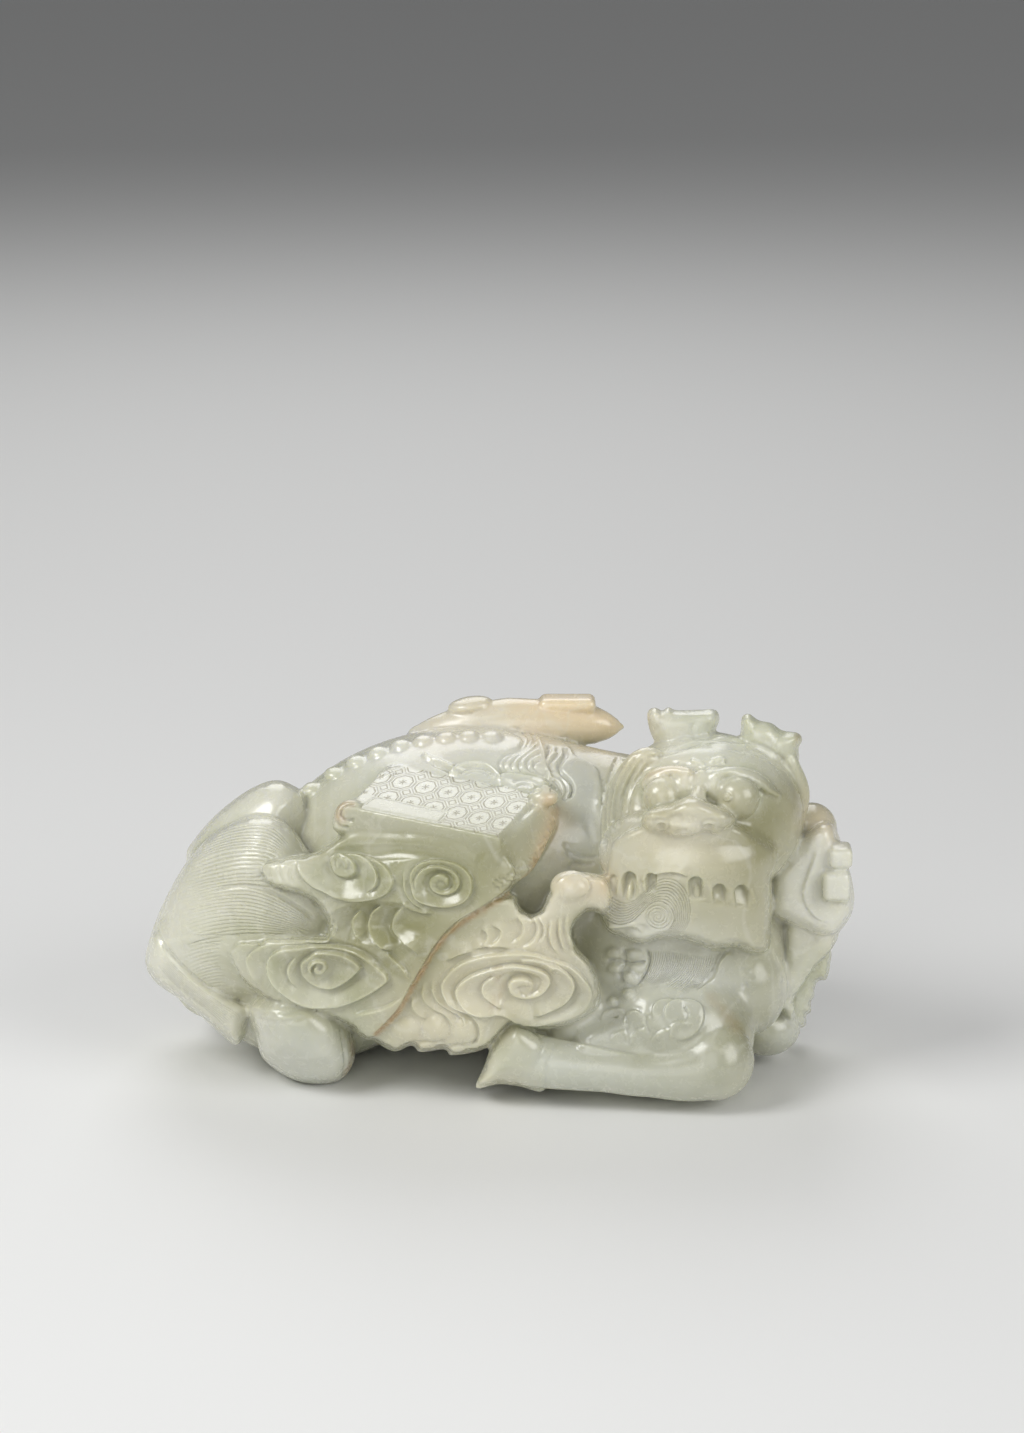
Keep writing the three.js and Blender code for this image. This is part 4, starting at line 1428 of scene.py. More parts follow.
@dataclass
class Clouds:
    """The breath, which spreads into lobes of cloud along the near flank."""

    sink: float = 8.0
    crown: float = 7.0
    root: float = 14.0
    left: Sequence[Point] = (
        (258, 871), (264, 861), (290, 856.8), (315, 852), (330, 842), (350, 830), (375, 828), (430, 832),
        (480, 838), (500, 846), (514, 860), (518, 874), (512, 888), (498, 902), (478, 916), (458, 930),
        (444, 945), (430, 967), (417, 988), (405, 1010), (390, 1028), (375, 1039), (362, 1038), (348, 1026),
        (318, 1016), (290, 1010), (265, 999), (240, 978), (227, 956), (232, 943), (250, 938), (290, 937),
        (327, 933), (320, 908), (302, 895), (270, 886),
    )
    right: Sequence[Point] = (
        (480, 892), (500, 896), (514, 895), (521, 908), (532, 914), (542, 908), (549, 892), (560, 880),
        (576, 872), (592, 873), (608, 878), (614, 898), (606, 914), (590, 911), (578, 919), (571, 932),
        (576, 947), (590, 962), (600, 988), (597, 1007), (581, 1020), (560, 1028), (535, 1029), (514, 1023),
        (502, 1032), (488, 1047), (470, 1053), (450, 1055), (445, 1049), (420, 1052), (412, 1045),
        (392, 1051), (366, 1030), (376, 1000), (396, 965), (420, 930), (448, 902),
    )

    left_dishes: Sequence = (
        (((330.3, 859.7), (331.7, 868), (336, 875), (345.4, 878), (353.6, 874), (356, 867), (352, 859),
            (344, 854.6), (335.8, 853.4)), 1.1, 0.6, 3.0),
        (((410, 880), (412, 870), (422, 862), (440, 859.6), (458, 864), (470, 874), (472.6, 887),
            (467.6, 899), (456.8, 905.4), (442, 907.4), (427, 904.6), (415, 897.6)), 1.1, 0.6, 3.0),
        (((267.2, 968), (270, 956), (281, 949), (296, 946.8), (322, 945.4), (343, 948), (357, 953),
            (370, 961), (383.8, 970.7), (388.5, 979), (382.4, 985.8), (370, 994), (356.3, 1001),
            (336, 1007), (310, 1007), (294, 1001.4), (281, 992.6), (271.3, 981.7)), 1.3, 0.8, 3.6),
        (((300, 970.7), (301.5, 962.5), (309.7, 955.6), (318, 951.4), (338.5, 952.4), (352.2, 958.4),
            (360.5, 966.6), (359, 970.7), (351, 979), (338.5, 987.2), (327.5, 990), (315.2, 987.2),
            (304.2, 979)), 1.2, 0.8, 3.6),
    )
    spirals: Sequence = (
        (((334, 851), (348, 851.6), (367, 856), (384, 865), (392.4, 877.5), (392, 887), (382, 897),
            (359, 902), (338.5, 899), (325, 893), (311, 886), (301, 876), (297, 866), (299, 857)),
            0.9, 0.5, 3.4),
        (((334, 853.6), (346, 853), (359, 854.6), (371, 862), (377, 875), (375.5, 886), (366, 893)),
            0.9, 0.6, 3.0),
        (((338, 870), (337, 862), (343, 858.4), (349, 861), (349.4, 867), (344, 869)), 0.5, 0.3, 1.4),
        (((417, 894), (415, 882), (420, 872), (430, 866.5), (441, 866), (452, 870), (459, 878), (459, 887),
            (451, 894), (440, 895), (431, 890), (429, 882), (434, 875.5), (442, 874), (448, 879), (447, 886),
            (441, 887)), 0.8, 0.45, 2.4),
        (((311, 976), (308, 968), (311, 961.6), (318, 958.6), (325.4, 961.6), (327, 968.5), (322, 974),
            (315, 972.4), (314.4, 966.6), (319, 964.6)), 0.9, 0.5, 2.4),
        (((498, 1016), (486.5, 1015), (476, 1013), (465, 1007), (457, 996), (457, 987), (468, 977),
            (481, 972), (495, 968), (512, 965), (528, 967), (542, 971), (549.4, 977), (550, 985.5),
            (543, 995), (530, 1000), (519, 999), (511, 995), (508, 988), (511, 981), (519, 978.4), (528, 980),
            (533.6, 985.5), (532, 991), (526, 993.6)), 1.1, 0.8, 2.8),
        (((502, 1009), (492, 1004), (484, 998), (481, 991), (484, 983), (495, 976)), 0.8, 0.5, 2.6),
        (((546, 961), (563, 969), (573, 980), (574, 991), (566, 1003), (549, 1012), (532, 1017)),
            1.0, 0.7, 2.8),
        (((520, 958), (540, 960), (556, 967)), 0.6, 0.4, 2.4),
    )
    petal_arcs: Sequence = (
        ((271.3, 863.8), (269.6, 872), (272, 881.6), (275, 886.6)),
        ((293.3, 862), (289.2, 873.4), (291.9, 881.6), (297, 888)),
        ((283, 861), (279, 871), (281.6, 880), (286, 887)),
    )
    left_steps: Sequence = (
        ((270, 943.3), (255, 948.8), (247.4, 957), (247.4, 966.6), (253.5, 980.3), (262, 987.4)),
        ((297.4, 957), (290.5, 962.5), (286.6, 972), (290, 982), (298, 990)),
        ((411, 981.7), (404.3, 969.3), (392, 957), (378, 948)),
        ((404.3, 995.4), (386.5, 1006.4), (372.8, 1010.5), (350.9, 1015)),
        ((400, 900), (405.4, 908.4), (417.6, 913), (435, 914)),
        ((403, 868), (402.4, 880), (404, 892), (412, 903), (425.7, 911)),
    )
    ribs: Sequence = (
        ((359, 910.4), (351, 918.6), (348.8, 926.8), (352.2, 936.4), (358, 943.6)),
        ((382.4, 904.9), (370, 913), (365.2, 922.7), (367.3, 933.7), (375.5, 944.7), (393, 953)),
        ((403, 906.3), (393.3, 915.9), (389.9, 925.5), (392.7, 933.7), (400.2, 940.5), (412.5, 948.8),
            (421, 958.4)),
    )
    bowls: Sequence = (
        ((376, 924), (52, 23), -2.6), ((330, 976), (58, 32), -1.2), ((352, 876), (38, 22), -1.0),
        ((317, 968), (16, 14), 1.2), ((344, 865), (13, 12), 1.0), ((522, 990), (62, 32), -1.2),
        ((520, 988), (14, 12), 0.8), ((441, 883), (30, 22), -0.9), ((441, 882), (10, 8), 0.7),
        ((384, 852), (60, 9), -0.8), ((500, 935), (50, 18), -0.7), ((264, 873), (7, 10), -0.4),
    )
    crevice: Sequence[Point] = (
        (520, 880), (500, 897), (478, 911), (455, 925), (438, 943),
        (424, 966), (412, 986), (400, 1008), (384, 1026), (372, 1038),
    )
    right_lobe: Sequence[Point] = (
        (442, 988), (446, 976), (462, 962), (486, 955), (508, 952.6), (519, 952), (536, 954), (553, 960),
        (571, 966), (586, 980), (592, 993), (586, 1007), (572, 1016), (556, 1021), (536, 1024), (515, 1020),
        (500, 1015), (484, 1016), (466, 1012), (450, 1003),
    )
    right_steps: Sequence = (
        ((424.3, 980), (421.6, 993.6), (425.7, 1003), (433.8, 1009.8), (446, 1016.6), (452, 1026),
            (450, 1034)),
        ((412, 996), (412, 1007), (418.9, 1015.2), (428, 1020)),
        ((444, 984), (442, 990), (446, 998), (454, 1008.4), (467.6, 1015.2), (475.7, 1022), (479.8, 1031.4),
            (477, 1041), (467, 1046.6)),
        ((434, 976), (432, 990), (438, 1002), (450, 1011), (462, 1019), (466, 1030)),
        ((479.8, 930), (485.2, 932.7), (486.5, 939.5), (481, 945)),
        ((490, 925), (499, 930), (500, 936), (494.6, 942.2), (484, 948)),
        ((514.9, 915), (521.7, 923.3), (522.4, 932.7), (516.3, 940.8), (508.2, 945)),
        ((529.8, 915), (536.6, 924.6), (536.6, 934), (529.8, 943.5), (519, 949)),
        ((536.6, 915), (543.3, 926), (543.3, 935.4), (536.6, 945)),
        ((551.4, 916), (549, 932), (551.4, 945), (559.5, 957)),
        ((559.5, 916), (558.6, 932), (561, 944), (567, 955)),
        ((567, 912), (565, 926), (566.3, 940), (573, 953)),
        ((470, 950), (486, 947), (500, 947), (512, 950)),
        ((444, 962), (460, 955), (474, 951)),
    )
    pads: Sequence = (
        ((436, 1030), (14, 15), 1.3), ((465, 1032), (12, 15), 1.1), ((406, 1030), (15, 13), 1.0),
        ((474, 774), (24, 9), 0.6),
    )
    feet_edges: Sequence = (
        ((412, 1043), (430, 1042), (447, 1040)), ((446, 1046.6), (462, 1045), (480, 1040)),
    )
    knob: Sequence[Point] = (
        (553, 893), (558, 881), (571, 874), (585, 877), (590, 887), (583, 896), (572, 897),
    )
    rib_bed: Egg = Egg((388, 928, -27), (13, 11, 12))
    knob_boss: Egg = Egg((571, 887, -38.4), (5, 4, 4))
    far_banks: Sequence[Egg] = (
        Egg((-13, 27, 20), (17, 11, 16), drawn=False),
        Egg((12, 28, 22), (18, 11, 18), drawn=False),
    )
    layer: Point = (-46, -18)

    def rim(self, across: np.ndarray, down: np.ndarray) -> np.ndarray:
        """Gives the depth of a lobe's rim on the left of the crevice."""
        under_book = (3.4 - 2.2 * smooth_step(across, 360, 470)) * smooth_step(-down, -886, -828)
        return pebble(across, down) + self.sink - 5 * smooth_step(-across, -345, -262) + under_book

    def right_rim(self, across: np.ndarray, down: np.ndarray) -> np.ndarray:
        """Gives the depth of a lobe's rim on the right of the crevice, where the face lies lower."""
        away = smooth_step(across + (down - 960) * 0.55, 380, 520)
        return pebble(across, down) + self.sink + 2.4 - 2.2 * away

    def build(self) -> list[bpy.types.Object]:
        """Builds the lobes and the far bank.

        Returns:
            The pieces.
        """
        return [
            Bench.pillow(self.left, self.rim, self.crown, edge=1.4, root=self.root),
            *self.rib_bed.build(),
            Bench.pillow(self.right, self.right_rim, self.crown, edge=1.6, root=self.root),
            *build_all((self.knob_boss, *self.far_banks)),
        ]

    def carve(self, relief: Relief) -> None:
        """Cuts the bowls, the crevice, the terraces of the spirals, the petals, the ribs and the feet.

        Args:
            relief: The cuts on the near side.
        """
        near = {"layer": self.layer}
        for centre, radii, height in (*self.bowls, *self.pads):
            relief.bump(centre, radii, height, **near)
        relief.groove(self.crevice, depth=0.8, width=0.34, fade=0.08, **near)
        relief.dish(self.right_lobe, high=1.4, low=0.2, reach=3.4, outside=1.6, **near)
        relief.step(self.knob, high=0.45, low=0.3, reach=2.0, fade=0.3, **near)
        for loop, high, low, reach in self.left_dishes:
            relief.dish(loop, high, low, reach, **near)
        for path, high, low, reach in self.spirals:
            relief.step(path, high, low, reach, fade=0.09, **near)
        for path in self.petal_arcs:
            relief.groove(path, depth=0.2, width=0.35, fade=0.3, **near)
        for path in self.left_steps:
            relief.step(path[::-1], high=0.8, low=0.5, reach=2.6, fade=0.25, **near)
        for path in self.ribs:
            relief.step(path[::-1], high=1.4, low=0.8, reach=3.4, fade=0.2, **near)
        for path in self.right_steps:
            relief.step(path[::-1], high=0.75, low=0.45, reach=2.2, fade=0.25, **near)
        for path in self.feet_edges:
            relief.groove(path, depth=0.6, width=0.5, **near)


@dataclass
class Book:
    """The cased book, borne on the upper clouds."""

    along: float = 38.8
    across: float = 27.4
    thick: float = 8.4
    rock: Sequence[Point] = (
        (486, 846), (500, 838), (522, 819), (546, 797.6), (556, 805), (557, 822), (548, 842), (540, 858),
        (530, 873), (513, 885), (500, 897), (484, 903), (470, 890), (474, 862),
    )
    leaves: Sequence = (
        ((498, 775), (508, 775), (522, 776), (541, 779.6), (548, 786), (547, 792), (538, 793.6), (524, 792),
            (512, 789), (503, 785)),
        ((376, 777), (384, 770), (394, 765.6), (404, 765), (410, 768), (400, 772), (390, 778)),
    )
    tie: Sequence[Point] = (
        (333, 828), (334, 814), (339, 804.6), (348, 799.6), (358, 801), (366, 808), (366, 822), (356, 830),
        (342, 834),
    )
    tie_cuts: Sequence = (
        ((358, 806), (349, 803.6), (342, 808), (341, 816), (347, 821), (356, 819)),
        ((336, 820), (340, 827), (350, 828)),
    )
    broken: Sequence[Point] = (
        (512, 866), (536, 846), (550, 812), (557, 812), (556, 830), (548, 850), (538, 868), (516, 886),
        (494, 896), (492, 880),
    )
    cloud_edges: Sequence = (
        ((447, 776), (453, 769), (462, 764.4), (472, 762.6), (483, 763.4), (492, 767.4), (499, 774),
            (501, 781)),
        ((497, 771.6), (508, 774), (522, 774.6), (534, 776.6), (543, 780), (549.4, 786), (549, 793)),
    )
    cloud_grooves: Sequence = (
        ((458, 776), (465, 770), (476, 767.6), (486, 770), (494, 777)),
        ((430, 762), (440, 766.4), (452, 769.4)),
    )
    cloud_ridge: Sequence[Point] = ((421, 753), (428, 757.6), (438, 761), (448, 764.6), (457, 766.6))
    strip: Sequence = (
        ((361, 806.6), (400, 814.6), (438, 822.2)), ((438, 822.2), (448, 812)),
        ((448, 812), (412, 804), (376, 796)), ((376, 796), (361, 806.6)),
    )
    curls: Sequence = (
        ((511, 784), (520, 781), (532, 783), (541, 789), (536, 792), (524, 791), (514, 788)),
        ((516, 787), (524, 785), (532, 788)),
        ((454, 773), (462, 769), (473, 767.6), (484, 768.6), (493, 774), (498, 781)),
        ((464, 775), (473, 772), (484, 773), (490, 778)),
        ((426, 756), (436, 761.4), (448, 766.6), (456, 768)),
        ((382, 777), (390, 771), (402, 768)),
    )
    layer: Point = (-44, 0)
    corner: Place = (500, 837.6, -42)
    left_corner: Place = (355.2, 808, -30)
    far_corner: Place = (550.4, 796, -17.5)
    corner_boss: Egg = Egg((544, 797, -19), (3.6, 3, 2.4))
    cells: Sequence[Point] = ((403.1, 782.1), (517.6, 807.4), (471.2, 797.1), (456.4, 812.7))
    strip_end: float = 15.6
    strip_top: float = 8.6

    def on_top(self, point: Point) -> np.ndarray:
        """Gives the place on the cover's face behind a point of the drawing."""
        across, down = np.array(point[0]), np.array(point[1])
        return DRAWING.at(across, down, self.top(across, down) - 0.2)

    def lattice_frame(self) -> list[tuple[np.ndarray, float]]:
        """Gives how the lattice and the cover are measured.

        Returns:
            Directions with starts: two that count cells, then those along, across and off the cover, in
            millimetres. Each takes coordinates in metres.
        """
        corner, left, back, low = self.axes()
        corner = np.array(corner)
        first, last, middle, nearer = (self.on_top(point) for point in self.cells)
        row = (last - first) / 5
        column = nearer - middle
        square = np.array([[row @ row, row @ column], [row @ column, column @ column]])
        ways = np.linalg.inv(square) @ np.stack([row, column])
        measures = [(way / MM, float(-(way @ middle))) for way in ways]
        for way in (np.array(left), np.array(back), -np.array(low)):
            measures.append((way / MM, float(-(way @ corner))))
        return measures

    def axes(self) -> tuple[Vector, Vector, Vector, Vector]:
        """Finds how the book lies.

        Returns:
            The near right corner of its top, and the ways left, back and down from it.
        """
        corner = at(*self.corner)
        left = (at(*self.left_corner) - corner).normalized()
        back = at(*self.far_corner) - corner
        back = (back - left * back.dot(left)).normalized()
        return corner, left, back, left.cross(back)

    def build(self) -> list[bpy.types.Object]:
        """Builds the book, the leaves of cloud, its tie and the rough rock at its side.

        Returns:
            The pieces.
        """
        corner, left, back, down = self.axes()
        edges = (left * self.along, back * self.across, down * self.thick)
        leaf = {"depth": self.top, "crown": 1.2, "edge": 1.2, "root": 1.6, "pitch": 2.5}
        return [
            Bench.block(corner, edges, round_by=0.5),
            Bench.pillow(self.rock, self.rock_rim, crown=2.2, edge=2.2, root=12),
            *(Bench.pillow(rim, **leaf) for rim in self.leaves),
            Bench.pillow(self.tie, depth=-27, crown=2.4, edge=1.6, root=9, pitch=2.5),
            *self.corner_boss.build(),
        ]

    def rock_rim(self, across: np.ndarray, down: np.ndarray) -> np.ndarray:
        """Gives the depth of the rock's rim, which turns away from the book's near corner."""
        return -38.6 + np.maximum(across - 500, 0) * np.clip(0.42 - 0.0045 * (down - 815), 0.1, 0.5)

    def top(self, across: np.ndarray, down: np.ndarray) -> np.ndarray:
        """Gives the depth of the cover's face behind points of the drawing.

        Args:
            across: Distances across the drawing.
            down: Distances down.

        Returns:
            The depths in millimetres, just in the cover.
        """
        corner, _, _, low = self.axes()
        face = np.array(low)
        sight = DRAWING.on_plane(across, down) - DRAWING.eye
        start = DRAWING.eye + np.array(DRAWING.shift)
        share = ((np.array(corner) - start) @ face) / (sight @ face)
        return DRAWING.eye[1] + share * sight[..., 1] + 0.2

    def carve(self, relief: Relief) -> None:
        """Cuts the title strip's edge, the clouds at the cover's far edge, the tie and the broken rock.

        Args:
            relief: The cuts on the near side.
        """
        for path in self.strip:
            relief.groove(path, depth=0.2, width=0.26, fade=0.02, layer=self.layer)
        for path in self.curls:
            relief.groove(path, depth=0.35, width=0.32, fade=0.1, layer=self.layer)
        for path in self.cloud_edges:
            relief.step(path, high=1.2, low=0.9, reach=3.0, fade=0.12)
        for path in (*self.cloud_grooves, *self.tie_cuts):
            relief.groove(path, depth=0.8, width=0.5, fade=0.15)
        relief.ridge(self.cloud_ridge, height=0.9, width=0.6, fade=0.15)
        relief.roughen(self.broken, height=0.3, size=5)


@dataclass
class Scroll:
    """The wrapped scroll lying behind the spine, with a slip on its right and a knot on its left."""

    depth: float = 18.0
    slip_corner: Point = (539.2, 692)
    slip_size: Place = (14, 8, 3.6)
    knot: Point = (470, 704.6)
    knot_radii: Place = (5.6, 4.2, 1.9)
    knot_lean: float = -9
    line: Sequence[Place] = (
        (420, 738.4, 3.4), (438, 733, 4.4), (456, 729, 5.1), (480, 726, 5.9), (508, 724, 6.6),
        (534, 723.5, 6.2), (558, 724, 5.8), (580, 724.6, 5.2), (596, 725.2, 4.6), (608, 726, 3.4),
        (617, 726.4, 1.9), (621, 726.6, 0.8),
    )

    def slip(self) -> bpy.types.Object:
        """Builds the flat slip on the scroll.

        Returns:
            The piece.
        """
        wide, deep, high = self.slip_size
        corner = at(*self.slip_corner, self.depth + deep / 2)
        edges = (Vector((wide, 0, 0)), Vector((0, -deep, 0)), Vector((0, 0, -high)))
        return Bench.block(corner, edges, round_by=1.5)

    def build(self) -> list[bpy.types.Object]:
        """Builds the scroll, its slip and its knot.

        Returns:
            The pieces.
        """
        line = [at(across, down, self.depth) for across, down, _ in self.line]
        return [
            *Bench.limb(line, [radius for *_, radius in self.line]),
            self.slip(),
            Bench.ball(at(*self.knot, self.depth), self.knot_radii, lean=self.knot_lean),
        ]


@dataclass
class Sash:
    """The fluttering end of the sash beside the head, with its folds below."""

    leaf: Sequence[Point] = (
        (825, 821), (803, 833), (790, 848), (776, 865), (771, 876), (769.6, 911), (782, 921), (800, 929),
        (817, 936.6), (829, 937), (839, 932), (850, 917), (854.4, 900), (852, 880), (845, 855), (836, 829),
    )
    fold: Sequence[Point] = (
        (787, 922), (783, 955), (774, 981), (775, 1003), (782, 1013), (791, 1020.4), (796, 1014), (793, 1001),
        (800, 988), (813, 969), (830, 951), (838, 932), (815, 922),
    )
    under: Sequence[Point] = (
        (824, 944), (831, 951), (831, 960), (826.6, 979), (818.5, 980), (814.4, 989), (814.4, 996),
        (811, 1001), (811, 1012), (805.8, 1014.4), (806.4, 1022), (804, 1027), (796, 1028), (783, 1024),
        (783, 960),
    )
    layer: Point = (-30, -10)
    rim_layer: Point = (-21.6, -10)
    knobs: Sequence = (((830, 850, -23), (5.6, 8, 5)), ((823.5, 874, -24), (6.6, 8, 7.2)))
    leaf_top: Egg = Egg((812, 829, -5), (6.2, 8, 6.4))
    leaf_hollow: tuple[Point, Point] = ((828, 903), (25, 27))
    leaf_crease: Sequence[Point] = ((776, 872), (788, 864), (800, 856), (806, 842), (811, 830))
    leaf_rim: Sequence[Point] = (
        (820, 842), (814, 858), (808, 874), (803, 891), (807, 908), (819, 921), (836, 924),
    )
    fold_ridge: Sequence[Point] = ((836, 942), (826, 953), (811, 969), (798, 988), (792, 1003), (792, 1016))
    fold_lines: Sequence = (
        ((790, 946), (797, 950), (808, 946), (818, 938)),
        ((790, 958), (784, 982), (786, 1006)),
        ((806, 984), (803, 996), (806, 1006)), ((812, 978), (810, 992), (804, 1016)),
    )

    def knob(self, corner: Place, size: Place) -> bpy.types.Object:
        """Builds a square knob.

        Args:
            corner: Its upper left near corner, behind a point of the drawing.
            size: Its width, depth and height.

        Returns:
            The piece.
        """
        wide, deep, high = size
        edges = (Vector((wide, 0, 0)), Vector((0, deep, 0)), Vector((0, 0, -high)))
        return Bench.block(at(*corner), edges, round_by=1.2)

    def build(self) -> list[bpy.types.Object]:
        """Builds the leaf, its two square knobs and the folds.

        Returns:
            The pieces.
        """
        return [
            Bench.pillow(self.leaf, depth=-12, crown=7, edge=3.4, root=10, dome=1.6),
            *(self.knob(corner, size) for corner, size in self.knobs),
            *self.leaf_top.build(),
            Bench.pillow(self.fold, depth=-8, crown=6, edge=3, root=10, pitch=3),
            Bench.pillow(self.under, depth=2, crown=6, edge=1.6, root=10, pitch=2.5),
        ]

    def carve(self, relief: Relief) -> None:
        """Cuts the leaf's hollow, crease and rim, and the folds.

        Args:
            relief: The cuts on the near side.
        """
        centre, radii = self.leaf_hollow
        relief.bump(centre, radii, height=-1.2, layer=self.rim_layer)
        relief.groove(self.leaf_crease, depth=0.4, width=1.2, fade=0.2, layer=self.layer)
        relief.step(self.leaf_rim[::-1], high=0.4, low=0.5, reach=3.6, fade=0.25, layer=self.rim_layer)
        relief.ridge(self.fold_ridge, height=0.8, width=0.7, fade=0.1)
        for path in self.fold_lines:
            relief.groove(path, depth=0.4, width=0.9)


@dataclass
class FarSide:
    """The plain side, whose cuts are drawn from behind."""

    haunch: Sequence[Point] = ((640, 806), (612, 830), (600, 866), (604, 906), (628, 944), (664, 968))
    shoulder: Sequence[Point] = ((330, 800), (362, 826), (376, 866), (368, 910), (344, 946))
    legs: Sequence = (
        ((640, 990), (610, 1000), (580, 1002), (556, 1000)),
        ((330, 990), (356, 1004), (384, 1006), (410, 1004)),
    )
    spirals: Sequence = (
        (((560, 960), (530, 950), (516, 920), (530, 890), (562, 876), (596, 886), (606, 916), (590, 940),
            (562, 944), (544, 926), (550, 906), (568, 900), (580, 912), (570, 922)), 0.9, 0.6, 3.2),
        (((470, 950), (436, 940), (416, 908), (430, 872), (466, 856), (500, 868), (510, 900), (494, 926),
            (466, 930), (446, 912), (450, 888), (470, 880), (484, 894), (474, 906)), 0.9, 0.6, 3.2),
        (((480, 1064), (440, 1056), (416, 1026), (424, 996), (456, 982), (488, 994), (498, 1022),
            (480, 1042), (454, 1040), (444, 1020), (460, 1008), (472, 1020)), 0.9, 0.5, 3.0),
        (((580, 1066), (544, 1058), (528, 1034), (538, 1008), (566, 998), (592, 1008), (600, 1032),
            (584, 1048), (562, 1044), (556, 1028), (570, 1020)), 0.9, 0.5, 3.0),
    )
    flow: Sequence = (
        ((520, 960), (500, 980), (470, 984), (440, 976)), ((616, 900), (640, 880), (668, 880)),
        ((512, 870), (524, 850), (548, 842)), ((606, 950), (628, 966), (652, 968)),
        ((410, 860), (400, 836), (376, 822)), ((540, 974), (566, 984), (596, 980)),
    )
    comb: Sequence = (
        ((690, 812), (716, 806), (744, 816), (766, 838)),
        ((684, 850), (716, 842), (750, 852), (782, 876)),
        ((680, 900), (716, 894), (754, 900), (792, 916)),
        ((680, 950), (716, 946), (754, 948), (790, 954)),
    )
    nape: Sequence = (
        ((352, 740), (346, 766), (330, 792), (306, 812)), ((336, 736), (330, 760), (316, 784), (294, 802)),
        ((320, 732), (314, 754), (302, 776), (282, 792)), ((304, 730), (298, 750), (286, 768), (270, 782)),
        ((288, 730), (282, 746), (270, 762), (256, 774)),
    )

    @property
    def far_combs(self) -> Sequence:
        """The combed places: guides, counts, depth, layer and fades."""
        return ((self.comb, (9, 11, 11), 0.17, None, (0.2, 0.25)),)

    def carve_far(self, relief: Relief) -> None:
        """Cuts the haunch, the shoulder, the legs, the clouds, the nape and the tail's hair.

        Args:
            relief: The cuts on the far side.
        """
        relief.step(self.haunch, high=0.5, low=0.9, reach=3.4)
        relief.step(self.shoulder[::-1], high=0.5, low=0.9, reach=3.4)
        for path in self.legs:
            relief.groove(path, depth=0.7, width=0.8)
        for path, high, low, reach in self.spirals:
            relief.step(path, high, low, reach, fade=0.06)
        for path in self.flow:
            relief.step(path, high=0.7, low=0.5, reach=2.6)
        for path in self.nape:
            relief.groove(path, depth=0.5, width=0.6)
        for comb in self.far_combs:
            relief.comb(*comb)


class Mark(Enum):
    """What is marked on each point of the skin for the finish to read."""

    HOLLOW = "hollow"
    CREAM = "cream"
    RUSSET = "russet"
    MIST = "mist"
    # Painted shade in hollows, creases and shaded faces.
    OLIVE = "olive"
    # Painted light on faces that the lamps leave darker.
    CHALK = "chalk"
    AMBER = "amber"
    LINES = "combed_lines"
    COMBED = "combed"


class Value:
    """One number at each point of a finish, worked out by nodes."""

    def __init__(self, finish: "Finish", socket: bpy.types.NodeSocket) -> None:
        """Wraps a node's output.

        Args:
            finish: The finish whose nodes it belongs to.
            socket: The output.
        """
        self.finish = finish
        self.socket = socket

    def work(self, operation: str, *others: "Value | float", clamp: bool = False) -> "Value":
        """Adds one Math node on this value and others."""
        return self.finish.math(operation, self, *others, clamp=clamp)

    def __add__(self, other: "Value | float") -> "Value":
        """Adds."""
        return self.work("ADD", other)

    __radd__ = __add__

    def __sub__(self, other: "Value | float") -> "Value":
        """Subtracts."""
        return self.work("SUBTRACT", other)

    def __rsub__(self, other: float) -> "Value":
        """Subtracts this value from a number."""
        return self.finish.math("SUBTRACT", other, self)

    def __mul__(self, other: "Value | float") -> "Value":
        """Multiplies."""
        return self.work("MULTIPLY", other)

    __rmul__ = __mul__

    def __abs__(self) -> "Value":
        """Drops the sign."""
        return self.work("ABSOLUTE")

    def between(self, low: float, high: float) -> "Value":
        """Rises smoothly from 0 at low to 1 at high."""
        node = self.finish.node(
            "ShaderNodeMapRange",
            {"interpolation_type": "SMOOTHSTEP"},
            {"Value": self, "From Min": low, "From Max": high},
        )
        return Value(self.finish, node.outputs["Result"])


